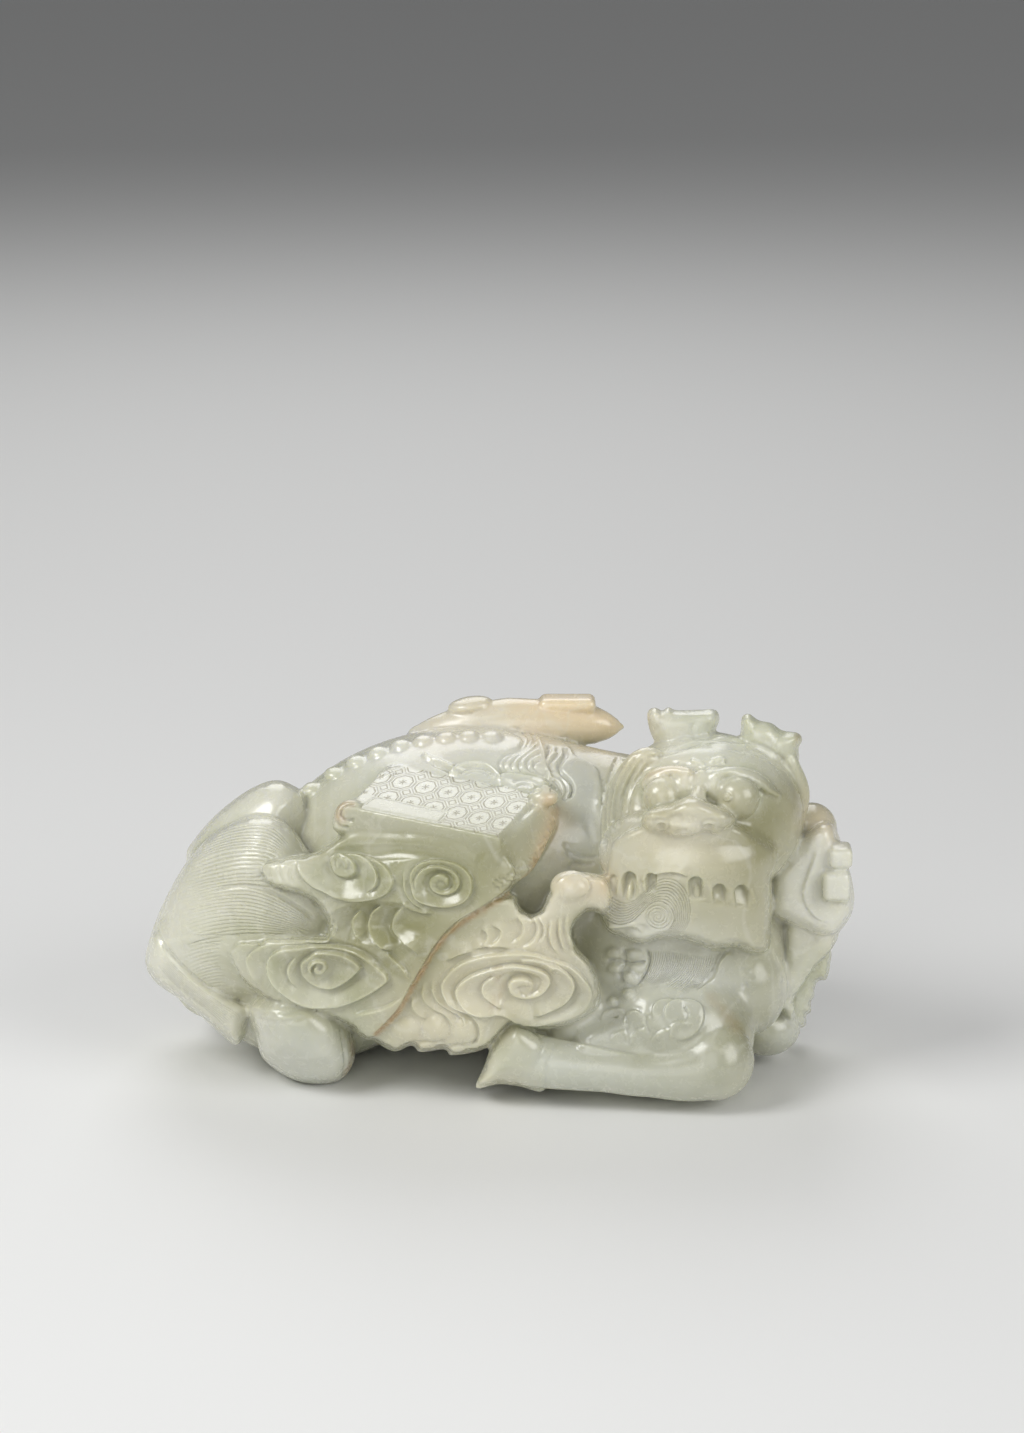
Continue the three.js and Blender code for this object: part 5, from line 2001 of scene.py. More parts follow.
class Finish:
    """A material that is built from nodes."""

    def __init__(self, name: str) -> None:
        """Starts a material.

        Args:
            name: Its name.
        """
        self.material = bpy.data.materials.new(name)
        self.material.use_nodes = True
        self.tree = self.material.node_tree
        self.shader = self.tree.nodes["Principled BSDF"]

    def node(self, kind: str, settings: dict, values: dict) -> bpy.types.Node:
        """Adds a node.

        Args:
            kind: The node's type.
            settings: Its own settings, which are set first.
            values: The numbers or links of its sockets, by name or number.

        Returns:
            The node.
        """
        node = self.tree.nodes.new(kind)
        for name, value in settings.items():
            setattr(node, name, value)
        for name, value in values.items():
            self.feed(node.inputs[name], value)
        return node

    def feed(self, socket: bpy.types.NodeSocket, value: object) -> None:
        """Links a value to a socket, or sets the socket to a number or a colour."""
        if isinstance(value, Value):
            self.tree.links.new(value.socket, socket)
        elif isinstance(value, bpy.types.NodeSocket):
            self.tree.links.new(value, socket)
        else:
            socket.default_value = value

    def math(self, operation: str, *values: "Value | float", clamp: bool = False) -> Value:
        """Adds one Math node on some values."""
        settings = {"operation": operation, "use_clamp": clamp}
        node = self.node("ShaderNodeMath", settings, dict(enumerate(values)))
        return Value(self, node.outputs[0])

    def mark(self, mark: Mark) -> Value:
        """Reads a mark from the skin."""
        node = self.node("ShaderNodeAttribute", {"attribute_name": mark.value}, {})
        return Value(self, node.outputs["Fac"])

    def noise(self, size: float, detail: float = 3.0, rough: float = 0.55, warp: float = 0.0) -> Value:
        """Makes noise on the carving's own coordinates.

        Args:
            size: The size of its largest features, in millimetres.
            detail: How many finer layers it has.
            rough: How strong each finer layer is.
            warp: How far it is distorted.

        Returns:
            The noise, from 0 to 1 with its middle at 0.5.
        """
        values = {
            "Vector": self.coordinates,
            "Scale": 1 / (size * MM),
            "Detail": detail,
            "Roughness": rough,
            "Distortion": warp,
        }
        node = self.node("ShaderNodeTexNoise", {}, values)
        return Value(self, node.outputs["Fac"])

    def patches(self, mark: Mark, noise: Value, sizes: Point) -> Value:
        """Reads a mark and lets it come and go with a noise.

        Args:
            mark: The mark.
            noise: The noise.
            sizes: How much it comes and goes, and how much of it is always there.

        Returns:
            The patchy mark.
        """
        vary, least = sizes
        return self.mark(mark) * (noise * vary + least)

    @property
    def coordinates(self) -> bpy.types.NodeSocket:
        """The carving's own coordinates, in metres."""
        node = self.tree.nodes.get("Texture Coordinate") or self.node("ShaderNodeTexCoord", {}, {})
        return node.outputs["Object"]

    def along(self, way: np.ndarray, start: float) -> Value:
        """Measures the coordinates along a direction, from a start."""
        node = self.node(
            "ShaderNodeVectorMath", {"operation": "DOT_PRODUCT"}, {0: self.coordinates, 1: tuple(way)}
        )
        return Value(self, node.outputs["Value"]) + start

    def tint(self, base: object, colour: Place, share: Value) -> bpy.types.NodeSocket:
        """Mixes a colour into another one.

        Args:
            base: The first colour, or the socket that gives it.
            colour: The colour that is mixed in.
            share: How much of it.

        Returns:
            The socket that gives the mixed colour.
        """
        first = base if isinstance(base, bpy.types.NodeSocket) else (*base, 1)
        settings = {"data_type": "RGBA", "clamp_factor": True}
        node = self.node("ShaderNodeMix", settings, {0: share, 6: first, 7: (*colour, 1)})
        return node.outputs[2]


@dataclass(frozen=True)
class Jade:
    """Pale polished jade, creamier or rustier in places, with painted shade in its hollows and shaded places
    and painted light on its crests and dim faces.

    A share is how much of a colour is mixed in at most. Patches are how much a mark comes and goes with the
    clouding, and how much of it is always there. A line of the lattice is its place from the edge of a cell
    and its outer and inner half width, in cells. Depths of the bump are in millimetres.
    """

    pale: Place = (0.622, 0.622, 0.488)
    green: Place = (0.470, 0.490, 0.330)
    # Painted shade: the colour that hollows, creases, grooves and shaded faces are darkened towards.
    olive: Place = (0.235, 0.225, 0.085)
    cream: Place = (0.680, 0.625, 0.470)
    russet: Place = (0.380, 0.235, 0.095)
    mist: Place = (0.560, 0.575, 0.525)
    # The pale of the stone's veins, and of painted light on crests and on faces that the lamps leave darker.
    chalk: Place = (0.780, 0.780, 0.700)
    amber: Place = (0.820, 0.660, 0.430)
    fleck: Place = (0.240, 0.200, 0.130)
    ink: Place = (0.330, 0.300, 0.200)
    rough: float = 0.27
    coat: float = 0.4
    coat_rough: float = 0.14
    swirl: Place = (658, 918, -40.4)
    swirl_pitch: float = 0.83
    swirl_reach: float = 3.5
    glow: float = 0.5
    glow_reach: float = 0.0022
    glow_colour: Place = (1.0, 0.95, 0.6)
    ior: float = 1.6
    green_share: float = 0.8
    # Of these shares, those for hollows, the shade mark and combed grooves mix in painted shade, and those
    # for the light mark and crests mix in painted light.
    hollow_shade_share: float = 0.52
    shade_olive_share: float = 0.9
    russet_share: float = 0.8
    painted_light_share: float = 0.88
    vein_share: float = 0.16
    crest_highlight_share: float = 0.13
    fleck_share: float = 0.25
    groove_shade_share: float = 0.10
    cream_patches: Point = (0.5, 0.62)
    mist_patches: Point = (0.5, 0.65)
    shade_olive_patches: Point = (0.4, 0.66)
    russet_patches: Point = (1.2, 0.4)
    amber_patches: Point = (0.5, 0.6)
    dent_depth: float = 0.06
    pit_depth: float = 0.0015
    line_depth: float = 0.10
    strand_depth: float = 0.12
    slant: float = 0.707
    sixth: Point = (0.866, 0.5)
    wall: Place = (-0.024, 0.022, 0.010)
    inner: Place = (-0.128, 0.030, 0.014)
    tile: Place = (0.085, 0.030, 0.014)
    ray: Point = (0.026, 0.010)
    ray_end: Point = (0.026, 0.020)

    def dress(self, piece: bpy.types.Object, book: Book) -> None:
        """Gives a piece the finish.

        Args:
            piece: The carving, with its marks.
            book: The book, whose cover carries the lattice.
        """
        finish = Finish("jade")
        shader = finish.shader
        hollow = finish.mark(Mark.HOLLOW)
        clouding = finish.noise(16, 4, 0.55, 0.6)
        grain = finish.noise(2.2, 5, 0.62, 0.4)
        # How sunk each point is: it darkens the colour in hollows as painted shade, and roughens and dulls
        # the coat there.
        sink = (hollow + (grain - 0.5) * 0.08).between(0.08, 0.95)
        # Painted highlight: how much each crest is paled.
        crest_highlight = (0 - hollow).between(0.2, 1.0)
        lines, groove = self.lattice(finish, book)
        combed = self.combing(finish)

        colour = finish.tint(self.pale, self.green, clouding.between(0.36, 0.66) * self.green_share)
        colour = finish.tint(colour, self.cream, finish.patches(Mark.CREAM, clouding, self.cream_patches))
        colour = finish.tint(colour, self.mist, finish.patches(Mark.MIST, clouding, self.mist_patches))
        # Painted shade: the shade mark and the hollows darken the colour.
        deep = finish.patches(Mark.OLIVE, clouding, self.shade_olive_patches)
        deep = 1 - (1 - deep) * (1 - sink * self.hollow_shade_share)
        colour = finish.tint(colour, self.olive, deep * self.shade_olive_share)
        rust = finish.patches(Mark.RUSSET, finish.noise(3.5, 5, 0.6, 1.0), self.russet_patches)
        colour = finish.tint(colour, self.russet, rust.between(0.15, 1.05) * self.russet_share)
        # Painted light: the light mark pales faces that the lamps leave darker.
        colour = finish.tint(colour, self.chalk, finish.mark(Mark.CHALK) * self.painted_light_share)
        colour = finish.tint(colour, self.amber, finish.patches(Mark.AMBER, clouding, self.amber_patches))
        veins = abs(finish.noise(30, 3, 0.5, 0.8) - 0.5).between(0.03, 0.0)
        colour = finish.tint(colour, self.chalk, veins * self.vein_share)
        # Painted highlight on the crests.
        colour = finish.tint(colour, self.chalk, crest_highlight * self.crest_highlight_share)
        specks = finish.noise(1.3, 2, 0.5).between(0.75, 0.80)
        colour = finish.tint(colour, self.fleck, specks * self.fleck_share)
        colour = finish.tint(colour, self.ink, lines)
        # Painted shade in the combed grooves.
        colour = finish.tint(colour, self.olive, combed * self.groove_shade_share)
        finish.feed(shader.inputs["Base Color"], colour)

        rough = self.rough + sink * 0.2 + (grain - 0.5) * 0.06 + lines * 0.2
        finish.feed(shader.inputs["Roughness"], rough)
        finish.feed(shader.inputs["Coat Weight"], self.coat * (1 - sink * 0.8))
        shader.inputs["Coat Roughness"].default_value = self.coat_rough
        shader.inputs["IOR"].default_value = self.ior
        shader.inputs["Subsurface Weight"].default_value = self.glow
        shader.inputs["Subsurface Radius"].default_value = self.glow_colour
        shader.inputs["Subsurface Scale"].default_value = self.glow_reach

        polish = finish.noise(5.5, 2, 0.5) * self.dent_depth + grain * self.pit_depth
        polish = polish - groove * self.line_depth - combed * self.strand_depth
        bump = finish.node("ShaderNodeBump", {}, {"Strength": 1.0, "Distance": MM, "Height": polish})
        finish.feed(shader.inputs["Normal"], bump.outputs["Normal"])
        piece.data.materials.clear()
        piece.data.materials.append(finish.material)

    def combing(self, finish: Finish) -> Value:
        """Draws the combed lines and the finest lines of the mouth's swirl.

        Args:
            finish: The finish.

        Returns:
            How deep the lines are, from 0 to 1.
        """
        wave = (finish.mark(Mark.LINES) * math.tau).work("COSINE")
        strands = wave.between(0.05, 0.95) * finish.mark(Mark.COMBED)
        middle = at(*self.swirl)
        x = finish.along(np.array([1, 0, 0]) / MM, -middle.x)
        z = finish.along(np.array([0, 0, -1]) / MM, middle.z)
        y = finish.along(np.array([0, 1, 0]) / MM, -middle.y)
        reach = (x * x + z * z).work("SQRT")
        turn = z.work("ARCTAN2", x)
        curl = ((reach * (1 / self.swirl_pitch)) * math.tau + turn).work("COSINE").between(0.05, 0.95)
        curl = curl * reach.between(self.swirl_reach, self.swirl_reach - 0.3) * y.between(6.0, 5.0)
        return strands.work("MAXIMUM", curl)

    def lattice(self, finish: Finish, book: Book) -> tuple[Value, Value]:
        """Draws the cover's lattice of eight-sided cells, with a star in each.

        Args:
            finish: The finish.
            book: The book.

        Returns:
            How dark the lines are and how deep they are, each from 0 to 1.
        """

        def line(value: Value, middle: float, outer: float, inner: float) -> Value:
            """Draws a soft line where a value is at its middle."""
            return abs(value - middle).between(outer, inner)

        p, q, u, v, w = (finish.along(way, start) for way, start in book.lattice_frame())
        p = p - p.work("ROUND")
        q = q - q.work("ROUND")
        corner = (abs(p) + abs(q) - self.slant) * self.slant
        out = corner.work("MAXIMUM", abs(p).work("MAXIMUM", abs(q)) - 0.5)
        wall = line(out, *self.wall) * 0.7
        inner = line(out, *self.inner)
        tile = line(out, *self.tile) * 0.85
        long, short = self.sixth
        star = finish.math("MINIMUM", abs(q), abs(p * long + q * short))
        star = star.work("MINIMUM", abs(p * long - q * short)).between(*self.ray)
        star = star * (p * p + q * q).between(*self.ray_end)
        drawn = wall.work("MAXIMUM", inner).work("MAXIMUM", tile).work("MAXIMUM", star)
        on_face = abs(w).between(0.42, 0.3)
        clear = u.between(0.5, 0.6) * (book.along - u).between(0.5, 0.6) * v.between(0.5, 0.6)
        clear = clear * (book.across - v).between(0.4, 0.5)
        strip = u.between(book.strip_end - 0.1, book.strip_end)
        strip = strip * v.between(book.strip_top, book.strip_top - 0.1)
        drawn = drawn * on_face * clear * (1 - strip)
        worn = drawn * (finish.noise(4, 3) * 0.5 + 0.6)
        return worn, drawn


@dataclass(frozen=True)
class Tints:
    """Painted shade, painted light and the stone's own tints, as paths in the drawing with a width in
    millimetres and a strength.
    """

    cream: Sequence = (
        (((612, 868), (650, 850), (700, 846), (752, 862)), 14, 0.75),
        (((610, 925), (680, 925), (755, 930)), 8, 0.55),
        (((660, 815), (720, 818)), 8, 0.8),
        (((596, 890), (566, 884), (548, 912), (560, 940)), 8, 0.9),
        (((580, 980), (520, 1000), (460, 1010), (420, 1030)), 12, 0.8),
        (((430, 980), (470, 950), (520, 930)), 10, 0.7),
        (((425, 728), (480, 712), (560, 710), (612, 724)), 12, 1.0),
        (((540, 694), (596, 695)), 5, 1.0),
        (((800, 840), (785, 890), (830, 920), (850, 880)), 12, 0.5),
        (((812, 815), (832, 825)), 6, 0.9),
        (((200, 900), (250, 850), (270, 820)), 14, 0.4),
        (((180, 980), (240, 1020)), 10, 0.35),
        (((500, 880), (520, 850)), 6, 0.5),
        (((740, 1075), (756, 1040), (715, 1000)), 5, 0.5),
        (((478, 1086), (520, 1088)), 4, 0.6),
    )
    russet: Sequence = (
        (((530, 874), (505, 896), (478, 912), (455, 928), (438, 946), (424, 968), (411, 990), (398, 1012),
            (376, 1034)), 0.85, 0.95),
        (((549, 800), (554, 812), (552, 826), (544, 846), (536, 864)), 2.0, 1.0),
        (((560, 716), (600, 724), (618, 726)), 7, 0.12),
        (((430, 730), (500, 714), (600, 722)), 9, 0.16),
        (((538, 699), (534, 712), (525, 727)), 0.9, 0.9),
        (((496, 960), (500, 985), (492, 1010)), 2.0, 0.5),
        (((350, 802), (339, 808), (342, 820)), 1.8, 0.8),
        (((648, 776), (662, 769), (680, 768)), 1.6, 0.5),
        (((600, 866), (606, 880), (600, 892)), 2.0, 0.5),
        (((345, 1076), (353, 1060), (352, 1040)), 1.2, 0.7),
        (((418, 764), (408, 768), (396, 774)), 1.2, 0.4),
        (((525, 733), (540, 745), (550, 775)), 4.0, 0.35),
        (((712, 998), (724, 1012), (738, 1030)), 2.6, 0.5),
        (((590, 1000), (600, 985)), 1.5, 0.3),
        (((800, 725), (798, 742)), 1.6, 0.6),
    )
    mist: Sequence = (
        (((410, 752), (450, 745), (510, 748)), 10, 0.9),
        (((570, 760), (585, 800), (586, 850)), 8, 1.0),
        (((630, 960), (680, 970), (700, 1000)), 12, 0.9),
        (((560, 1060), (640, 1075), (700, 1070)), 12, 0.8),
        (((620, 1020), (680, 1020)), 10, 0.8),
        (((290, 1050), (320, 1060)), 12, 0.8),
        (((745, 985), (755, 1005)), 10, 0.6),
        (((780, 1040), (765, 1050)), 8, 0.9),
        (((660, 722), (700, 722)), 8, 0.4),
        (((838, 858), (838, 890)), 3.4, 0.4),
    )
    # Painted shade: darker in recesses, creases and gaps, under the jaw and chin, and on faces that the lamps
    # light too brightly.
    olive: Sequence = (
        (((366, 818), (430, 838), (490, 856)), 6, 1.0),
        (((335, 922), (375, 926), (425, 930)), 11, 1.0),
        (((344, 930), (370, 944), (398, 944)), 7, 0.7),
        (((497, 884), (474, 908), (446, 932), (430, 962), (424, 984)), 4.5, 0.55),
        (((372, 822), (420, 836), (470, 850), (498, 858)), 4, 0.6),
        (((626, 884), (690, 888), (752, 886)), 8, 0.28),
        (((700, 908), (752, 920)), 7, 0.3),
        (((640, 1050), (700, 1040), (742, 1005), (752, 980)), 12, 0.32),
        (((700, 1070), (730, 1058)), 9, 0.25),
        (((752, 1032), (764, 1012)), 4, 0.6),
        (((772, 930), (773, 975)), 4, 0.8),
        (((440, 722), (540, 734)), 8, 0.25),
        (((380, 850), (420, 856), (480, 862), (500, 875)), 7, 0.6),
        (((300, 870), (370, 885), (420, 880), (460, 890)), 12, 0.25),
        (((250, 960), (300, 970), (340, 980), (400, 980)), 12, 0.4),
        (((782, 806), (792, 842), (776, 868)), 10, 1.0),
        (((780, 834), (784, 862)), 6, 0.6),
        (((750, 826), (768, 842)), 8, 1.0),
        (((506, 850), (530, 836), (550, 812)), 5, 0.9),
        (((590, 990), (560, 1010), (500, 1020)), 4, 0.4),
        (((640, 1010), (700, 1030), (740, 1050)), 10, 0.3),
        (((584, 925), (592, 940), (604, 950)), 6, 0.9),
        (((520, 892), (536, 888)), 4, 0.9),
        (((302, 830), (318, 846), (330, 844)), 4, 0.9),
        (((608, 945), (650, 952), (700, 954), (760, 962)), 3, 0.6),
        (((726, 1012), (740, 1034)), 3, 0.7),
        (((646, 806), (660, 812), (682, 800)), 4, 0.45),
        (((716, 806), (724, 815), (750, 822)), 4, 0.55),
        (((490, 862), (515, 860), (530, 850)), 5, 0.5),
        (((760, 780), (785, 800)), 7, 0.35),
        (((640, 756), (615, 790), (610, 830)), 3, 0.35),
        (((230, 1000), (250, 990), (262, 1000)), 3, 0.5),
        (((300, 1014), (350, 1030)), 3, 0.5),
        (((510, 1036), (600, 1058), (650, 1062)), 2, 0.3),
        (((460, 820), (480, 870), (440, 900)), 6, 0.3),
        (((770, 920), (776, 950), (772, 990)), 4, 0.6),
        (((270, 795), (300, 815)), 6, 0.3),
    )
    # Painted light: paler on faces that the lamps leave darker, and on highlights of the leaf, back, tail and
    # forehead.
    chalk: Sequence = (
        (((822, 842), (808, 876), (814, 912), (836, 914), (842, 880), (828, 860)), 6.5, 0.95),
        (((780, 888), (784, 912)), 4, 0.7),
        (((288, 800), (292, 842)), 5, 0.5),
        (((296, 912), (322, 916)), 6, 0.5),
        (((528, 896), (544, 900)), 5, 0.4),
        (((600, 918), (610, 940), (606, 960)), 5, 0.35),
        (((700, 820), (722, 826)), 5, 0.3),
        (((790, 940), (786, 990)), 7, 0.5),
        (((380, 772), (440, 746), (512, 738)), 10, 0.6),
        (((170, 940), (196, 874), (256, 828)), 14, 0.55),
        (((165, 975), (230, 1030)), 8, 0.4),
        (((690, 756), (762, 758)), 8, 0.6),
        (((400, 790), (530, 808)), 12, 0.4),
        (((640, 958), (700, 968)), 9, 0.4),
        (((215, 812), (270, 784)), 8, 0.4),
    )
    amber: Sequence = (
        (((552, 712), (584, 718), (616, 726)), 8, 0.8),
        (((542, 693), (596, 694)), 5, 0.9),
        (((436, 726), (480, 712), (530, 708)), 7, 0.35),
        (((548, 802), (553, 824), (544, 848)), 3, 0.6),
        (((598, 874), (602, 892)), 3, 0.35),
        (((648, 772), (672, 768), (690, 772)), 2, 0.35),
        (((560, 880), (584, 880)), 4, 0.3),
        (((814, 814), (830, 824)), 4, 0.5),
    )
    sharp_rounds: int = 3
    soft_rounds: int = 12
    # The far side's painted shade lies low, near the table.
    far_shade_olive: Sequence = (((0, 30, 20), 16, 0.4), ((40, 36, 12), 14, 0.4), ((-60, 30, 14), 12, 0.4))
    far_cream: Sequence = (((40, 24, 60), 22, 0.6), ((-60, 20, 40), 24, 0.4), ((0, 40, 16), 18, 0.5))
    far_mist: Sequence = (((-14, 26, 62), 24, 0.8), ((46, 34, 24), 20, 0.6))
    far_russet: Sequence = (((-24, 40, 34), 7, 0.7), ((22, 40, 24), 6, 0.6), ((66, 22, 44), 6, 0.5))

    def mark(self, piece: bpy.types.Object) -> None:
        """Writes the tints on the carving's points.

        Args:
            piece: The carving.
        """
        relief = Relief(piece, DRAWING)
        for mark, near, far in (
            (Mark.CREAM, self.cream, self.far_cream),
            (Mark.RUSSET, self.russet, self.far_russet),
            (Mark.MIST, self.mist, self.far_mist),
            (Mark.OLIVE, self.olive, self.far_shade_olive),
            (Mark.CHALK, self.chalk, ()),
            (Mark.AMBER, self.amber, ()),
        ):
            rest = np.ones(len(relief.places))
            for path, width, strength in near:
                rest *= 1 - np.clip(relief.beside(path, width) * strength, 0, 1)
            for middle, reach, strength in far:
                away = np.linalg.norm(relief.places - np.array(middle), axis=1)
                rest *= 1 - strength * np.exp(-((away / reach) ** 2))
            rounds = self.sharp_rounds if mark is Mark.RUSSET else self.soft_rounds
            Skin.write(piece, mark, Skin.spread(piece, 1 - rest, rounds))


class Skin:
    """The work on the carving's mesh as a whole."""

    @staticmethod
    def write(piece: bpy.types.Object, mark: Mark, values: np.ndarray) -> None:
        """Writes a mark on the mesh's points."""
        attribute = piece.data.attributes.new(mark.value, "FLOAT", "POINT")
        attribute.data.foreach_set("value", values.astype(np.float32))

    @staticmethod
    def places(piece: bpy.types.Object) -> np.ndarray:
        """Gives the mesh's points in millimetres, one a row."""
        return read(piece.data.vertices, "co").astype(float) / MM

    @staticmethod
    def normals(piece: bpy.types.Object) -> np.ndarray:
        """Gives the way out of the skin at each of the mesh's points, one a row."""
        return read(piece.data.vertex_normals, "vector").astype(float)

    @staticmethod
    def neighbours(piece: bpy.types.Object) -> tuple[np.ndarray, np.ndarray, np.ndarray]:
        """Finds which points are joined by edges.

        Args:
            piece: The carving.

        Returns:
            Each edge's two ends, both ways round, and how many edges each point has.
        """
        a, b = read(piece.data.edges, "vertices", 2, np.int32).T
        both = np.concatenate([a, b])
        other = np.concatenate([b, a])
        return both, other, np.maximum(np.bincount(both, minlength=len(piece.data.vertices)), 1)

    @staticmethod
    def spread(piece: bpy.types.Object, values: np.ndarray, rounds: int) -> np.ndarray:
        """Evens out a number of each point with its neighbours' numbers.

        Args:
            piece: The carving.
            values: The numbers.
            rounds: How many times.

        Returns:
            The evened numbers.
        """
        both, other, degree = Skin.neighbours(piece)
        for _ in range(rounds):
            values = 0.4 * values + 0.6 * np.bincount(both, values[other], len(values)) / degree
        return values

    @staticmethod
    def hollows(piece: bpy.types.Object, rounds: Sequence[int], scales: Sequence[float]) -> np.ndarray:
        """Measures how far each point lies below its smoothed surroundings.

        Args:
            piece: The carving.
            rounds: How many rounds of smoothing each measure takes.
            scales: The depth that counts as 1 in each measure, in millimetres.

        Returns:
            A number for each point, above 0 in hollows and below 0 on crests.
        """
        places = Skin.places(piece)
        normals = Skin.normals(piece)
        both, other, degree = Skin.neighbours(piece)
        smooth = places.copy()
        total = np.zeros(len(places))
        done = 0
        for goal, scale in zip(rounds, scales):
            while done < goal:
                mean = [np.bincount(both, smooth[other, k], len(places)) / degree for k in range(3)]
                smooth = 0.3 * smooth + 0.7 * np.stack(mean, axis=1)
                done += 1
            total += np.tanh(np.einsum("ij,ij->i", smooth - places, normals) / scale)
        return total / len(rounds)


@dataclass
class Carving:
    """The whole carving, one piece of jade."""

    grain: float = 0.45
    quick_grain: float = 0.9
    most_faces: int = 196_000
    seam_rub: int = 3
    rounds: Sequence[int] = (5, 25, 90)
    scales: Sequence[float] = (0.34, 0.7, 1.6)
    hollow_rounds: int = 2
    rubbed: Sequence = (
        (((610, 822), (690, 840), (760, 832), (768, 900), (700, 905), (606, 900), (606, 850)), 16),
        (((556, 1010), (600, 1000), (660, 985), (700, 1000), (712, 1030), (700, 1070), (640, 1060),
            (570, 1040)), 30),
        (((340, 836), (352, 820), (430, 824), (490, 838), (508, 856), (480, 858), (420, 850), (352, 848)),
            20),
        (((680, 770), (700, 768), (722, 771), (722, 783), (714, 796), (708, 808), (692, 808), (686, 796),
            (679, 784)), 16),
        (((656, 766), (684, 764), (690, 776), (684, 786), (668, 783), (656, 780)), 40),
        (((710, 766), (744, 768), (744, 778), (728, 783), (712, 784), (708, 776)), 24),
        (((816, 846), (852, 846), (858, 872), (852, 908), (816, 908)), 8),
        (((348, 800), (430, 810), (506, 828), (510, 846), (430, 832), (348, 818)), 9),
        (((494, 834), (548, 790), (558, 796), (556, 806), (506, 850)), 9),
    )
    fine: Sequence = (
        ((196, 815), (282, 815), (300, 836), (330, 862), (340, 940), (300, 942), (254, 940), (254, 1004),
            (196, 1000), (190, 900)),
        ((256, 868), (310, 850), (350, 828), (480, 838), (520, 884), (470, 915), (420, 970), (375, 1036),
            (260, 1000), (226, 956), (240, 938), (326, 934), (320, 905), (270, 888)),
        ((480, 892), (560, 880), (612, 876), (606, 914), (574, 930), (600, 985), (590, 1016), (540, 1030),
            (486, 1050), (392, 1050), (370, 1030), (420, 930)),
        ((150, 930), (170, 940), (250, 1000), (246, 1044), (228, 1044), (150, 985)),
        ((596, 868), (690, 872), (696, 942), (596, 934)),
        ((636, 944), (736, 946), (716, 1000), (632, 1008)),
        ((340, 760), (560, 760), (560, 800), (500, 846), (340, 814)),
        ((495, 728), (580, 738), (590, 808), (556, 812), (420, 770), (420, 752)),
        ((640, 770), (770, 770), (770, 842), (636, 842)),
    )
    parts: Sequence = field(
        default_factory=lambda: [
            Body(), Tail(), Legs(), Head(), Clouds(), Book(), Scroll(), Sash(), FarSide(),
        ]
    )

    def build(self) -> bpy.types.Object:
        """Builds the parts, fuses them, carves both sides, stands the carving on the table and marks it.

        Returns:
            The carving.
        """
        pieces = []
        for part in self.parts:
            if hasattr(part, "build"):
                made = part.build()
                pieces += made
                log.info("%s: %d forms", type(part).__name__.lower(), len(made))
        grain = self.grain
        whole = Bench.fuse(pieces, "jade_qilin", grain, self.seam_rub)
        log.info("fused: %d faces", len(whole.data.polygons))
        relief = Relief(whole, DRAWING)
        for loop, times in self.rubbed:
            relief.rub(loop, times)
        Relief(whole, DRAWING).refine(self.fine)
        log.info("refined: %d faces", len(whole.data.polygons))
        relief = Relief(whole, DRAWING)
        for part in self.parts:
            if hasattr(part, "carve"):
                part.carve(relief)
        relief.press()
        relief = Relief(whole, BEHIND)
        for part in self.parts:
            if hasattr(part, "carve_far"):
                part.carve_far(relief)
        relief.press()
        log.info("carved")
        self.stand(whole)
        hollow = Skin.hollows(whole, self.rounds, self.scales)
        fine = KDTree(len(whole.data.vertices))
        for i, place in enumerate(Skin.places(whole)):
            fine.insert(place, i)
        fine.balance()
        corners = sum(len(face.vertices) - 2 for face in whole.data.polygons)
        if corners > self.most_faces:
            Bench.finish_with(
                whole, "DECIMATE", ratio=self.most_faces / corners, use_collapse_triangulate=True
            )
        log.info("thinned: %d faces", len(whole.data.polygons))
        source = [fine.find(place)[1] for place in Skin.places(whole)]
        Skin.write(whole, Mark.HOLLOW, Skin.spread(whole, hollow[source], self.hollow_rounds))
        Bench.choose(whole)
        bpy.ops.object.shade_smooth()
        Tints().mark(whole)
        self.mark_lines(whole)
        log.info("marked")
        return whole

    def mark_lines(self, whole: bpy.types.Object) -> None:
        """Writes the count of combed lines on the carving's points.

        Args:
            whole: The carving.
        """
        lines = np.zeros(len(whole.data.vertices))
        combed = np.zeros(len(lines))
        for drawing, name in ((DRAWING, "combs"), (BEHIND, "far_combs")):
            relief = Relief(whole, drawing)
            for part in self.parts:
                for guides, counts, _, *more in getattr(part, name, ()):
                    near, count, share = relief.count_lines(guides, counts, *more)
                    lines[relief.index[near]] = count
                    combed[relief.index[near]] = share * relief.weight[near]
        Skin.write(whole, Mark.LINES, lines)
        Skin.write(whole, Mark.COMBED, combed)

    def stand(self, whole: bpy.types.Object) -> None:
        """Presses what would sink into the table flat onto it.

        Args:
            whole: The carving.
        """
        places = read(whole.data.vertices, "co")
        places[:, 2] = np.maximum(places[:, 2], 0)
        whole.data.vertices.foreach_set("co", places.ravel())
        whole.data.update()


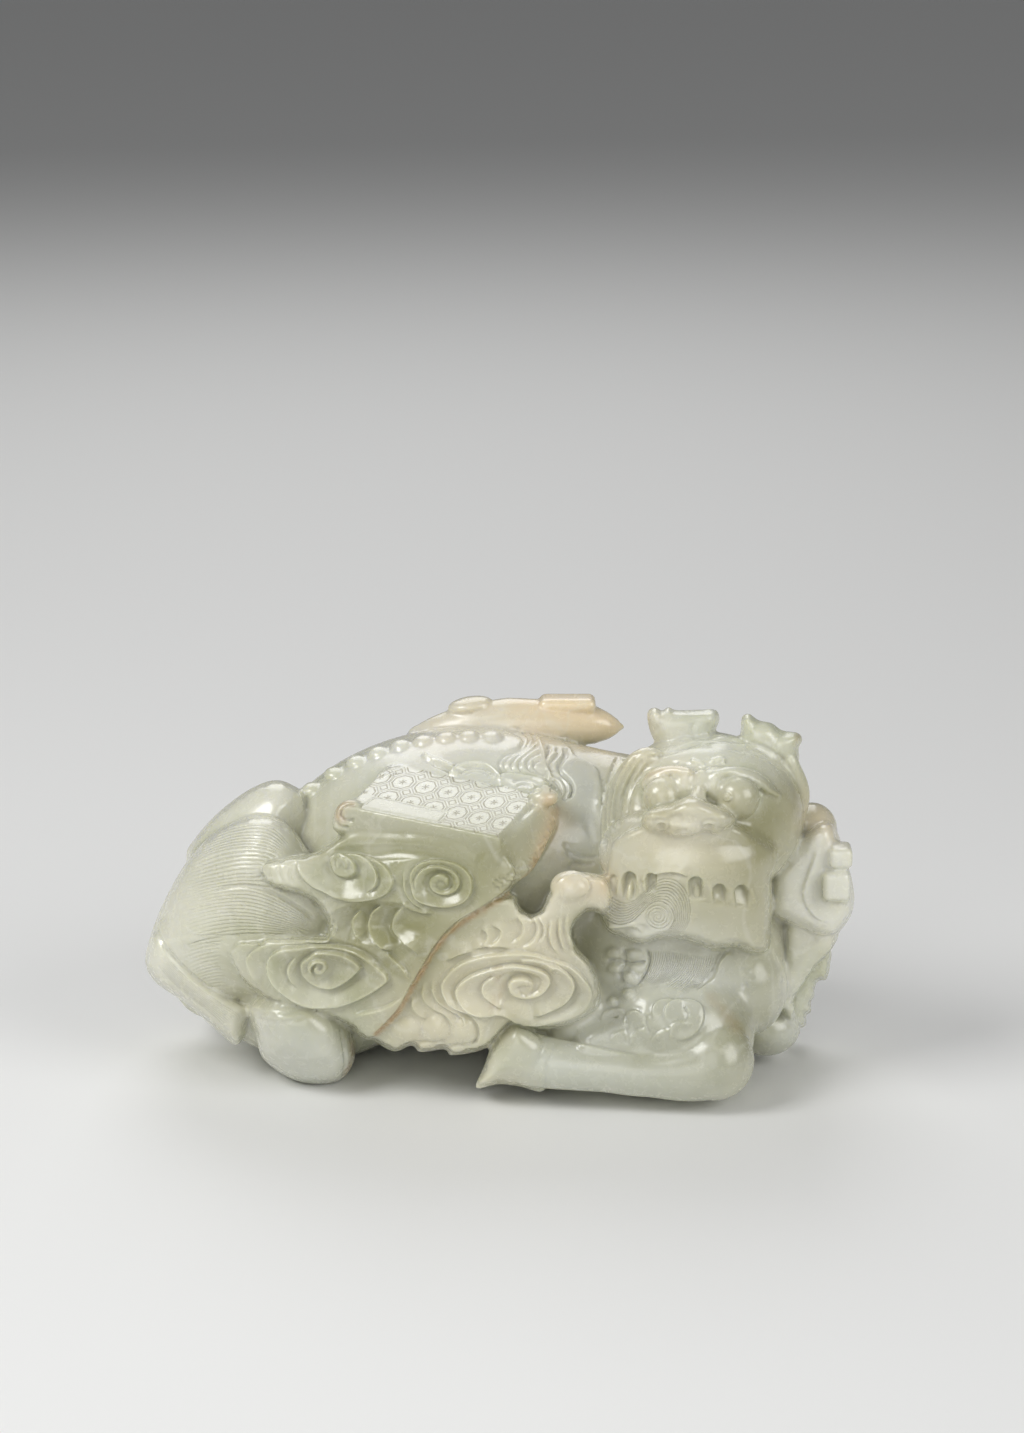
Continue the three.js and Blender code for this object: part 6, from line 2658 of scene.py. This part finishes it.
@dataclass(frozen=True)
class Studio:
    """A pale floor, soft lights and the camera."""

    lens: float = 100.49
    farthest: float = 50
    floor_size: float = 12
    floor_colour: Place = (0.8, 0.8, 0.79)
    floor_rough: float = 0.6
    lamps: Sequence = (
        ("key_light", (-0.62, -0.4, 0.72), 0.45, 5.6),
        ("back_light", (-0.1, 0.85, 0.85), 0.8, 4.2),
        ("right_light", (0.85, -0.62, 0.55), 0.7, 5.6),
        ("front_light", (-0.15, -1.05, 0.4), 0.7, 2.4),
    )
    lamp_aim: Place = (0, 0, 0.04)
    sky_colour: Place = (0.95, 0.96, 0.97)
    sky_strength: float = 0.175

    def build(self) -> None:
        """Lays the floor, hangs the lights and sets the camera."""
        bpy.ops.object.select_all(action="DESELECT")
        bpy.ops.mesh.primitive_plane_add(size=self.floor_size, location=(0, 0, 0))
        floor = bpy.context.object
        floor.name = "studio_floor"
        material = bpy.data.materials.new("floor_paper")
        material.use_nodes = True
        shader = material.node_tree.nodes["Principled BSDF"]
        shader.inputs["Base Color"].default_value = (*self.floor_colour, 1)
        shader.inputs["Roughness"].default_value = self.floor_rough
        floor.data.materials.append(material)
        for lamp in self.lamps:
            self.lamp(*lamp)
        world = bpy.data.worlds.new("studio")
        bpy.context.scene.world = world
        world.use_nodes = True
        background = world.node_tree.nodes["Background"]
        background.inputs["Color"].default_value = (*self.sky_colour, 1)
        background.inputs["Strength"].default_value = self.sky_strength
        self.camera()

    def lamp(self, name: str, place: Place, size: float, power: float) -> None:
        """Hangs one soft light that faces the carving.

        Args:
            name: The light's name.
            place: Where it hangs, in metres.
            size: How wide it is.
            power: Its power in watts.
        """
        light = bpy.data.lights.new(name, "AREA")
        light.shape = "SQUARE"
        light.size = size
        light.energy = power
        lamp = bpy.data.objects.new(name, light)
        bpy.context.collection.objects.link(lamp)
        lamp.location = place
        away = Vector(place) - Vector(self.lamp_aim)
        lamp.rotation_mode = "QUATERNION"
        lamp.rotation_quaternion = away.to_track_quat("Z", "Y")

    def camera(self) -> None:
        """Sets the camera at the drawing's eye."""
        camera = bpy.data.objects.new("camera", bpy.data.cameras.new("camera"))
        bpy.context.collection.objects.link(camera)
        camera.data.lens = self.lens
        camera.data.clip_end = self.farthest
        camera.location = Vector(DRAWING.eye + np.array(DRAWING.shift)) * MM
        camera.rotation_euler = (math.pi / 2 - DRAWING.tilt, 0, 0)
        bpy.context.scene.camera = camera


def main() -> None:
    """Builds the carving and its studio."""
    logging.basicConfig(level=logging.INFO, format="%(name)s: %(message)s")
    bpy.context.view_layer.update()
    carving = Carving().build()
    Jade().dress(carving, Book())
    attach(carving, "root")
    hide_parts(NODE)
    Studio().build()
    bpy.context.scene.view_settings.view_transform = "Standard"


if __name__ == "__main__":
    main()
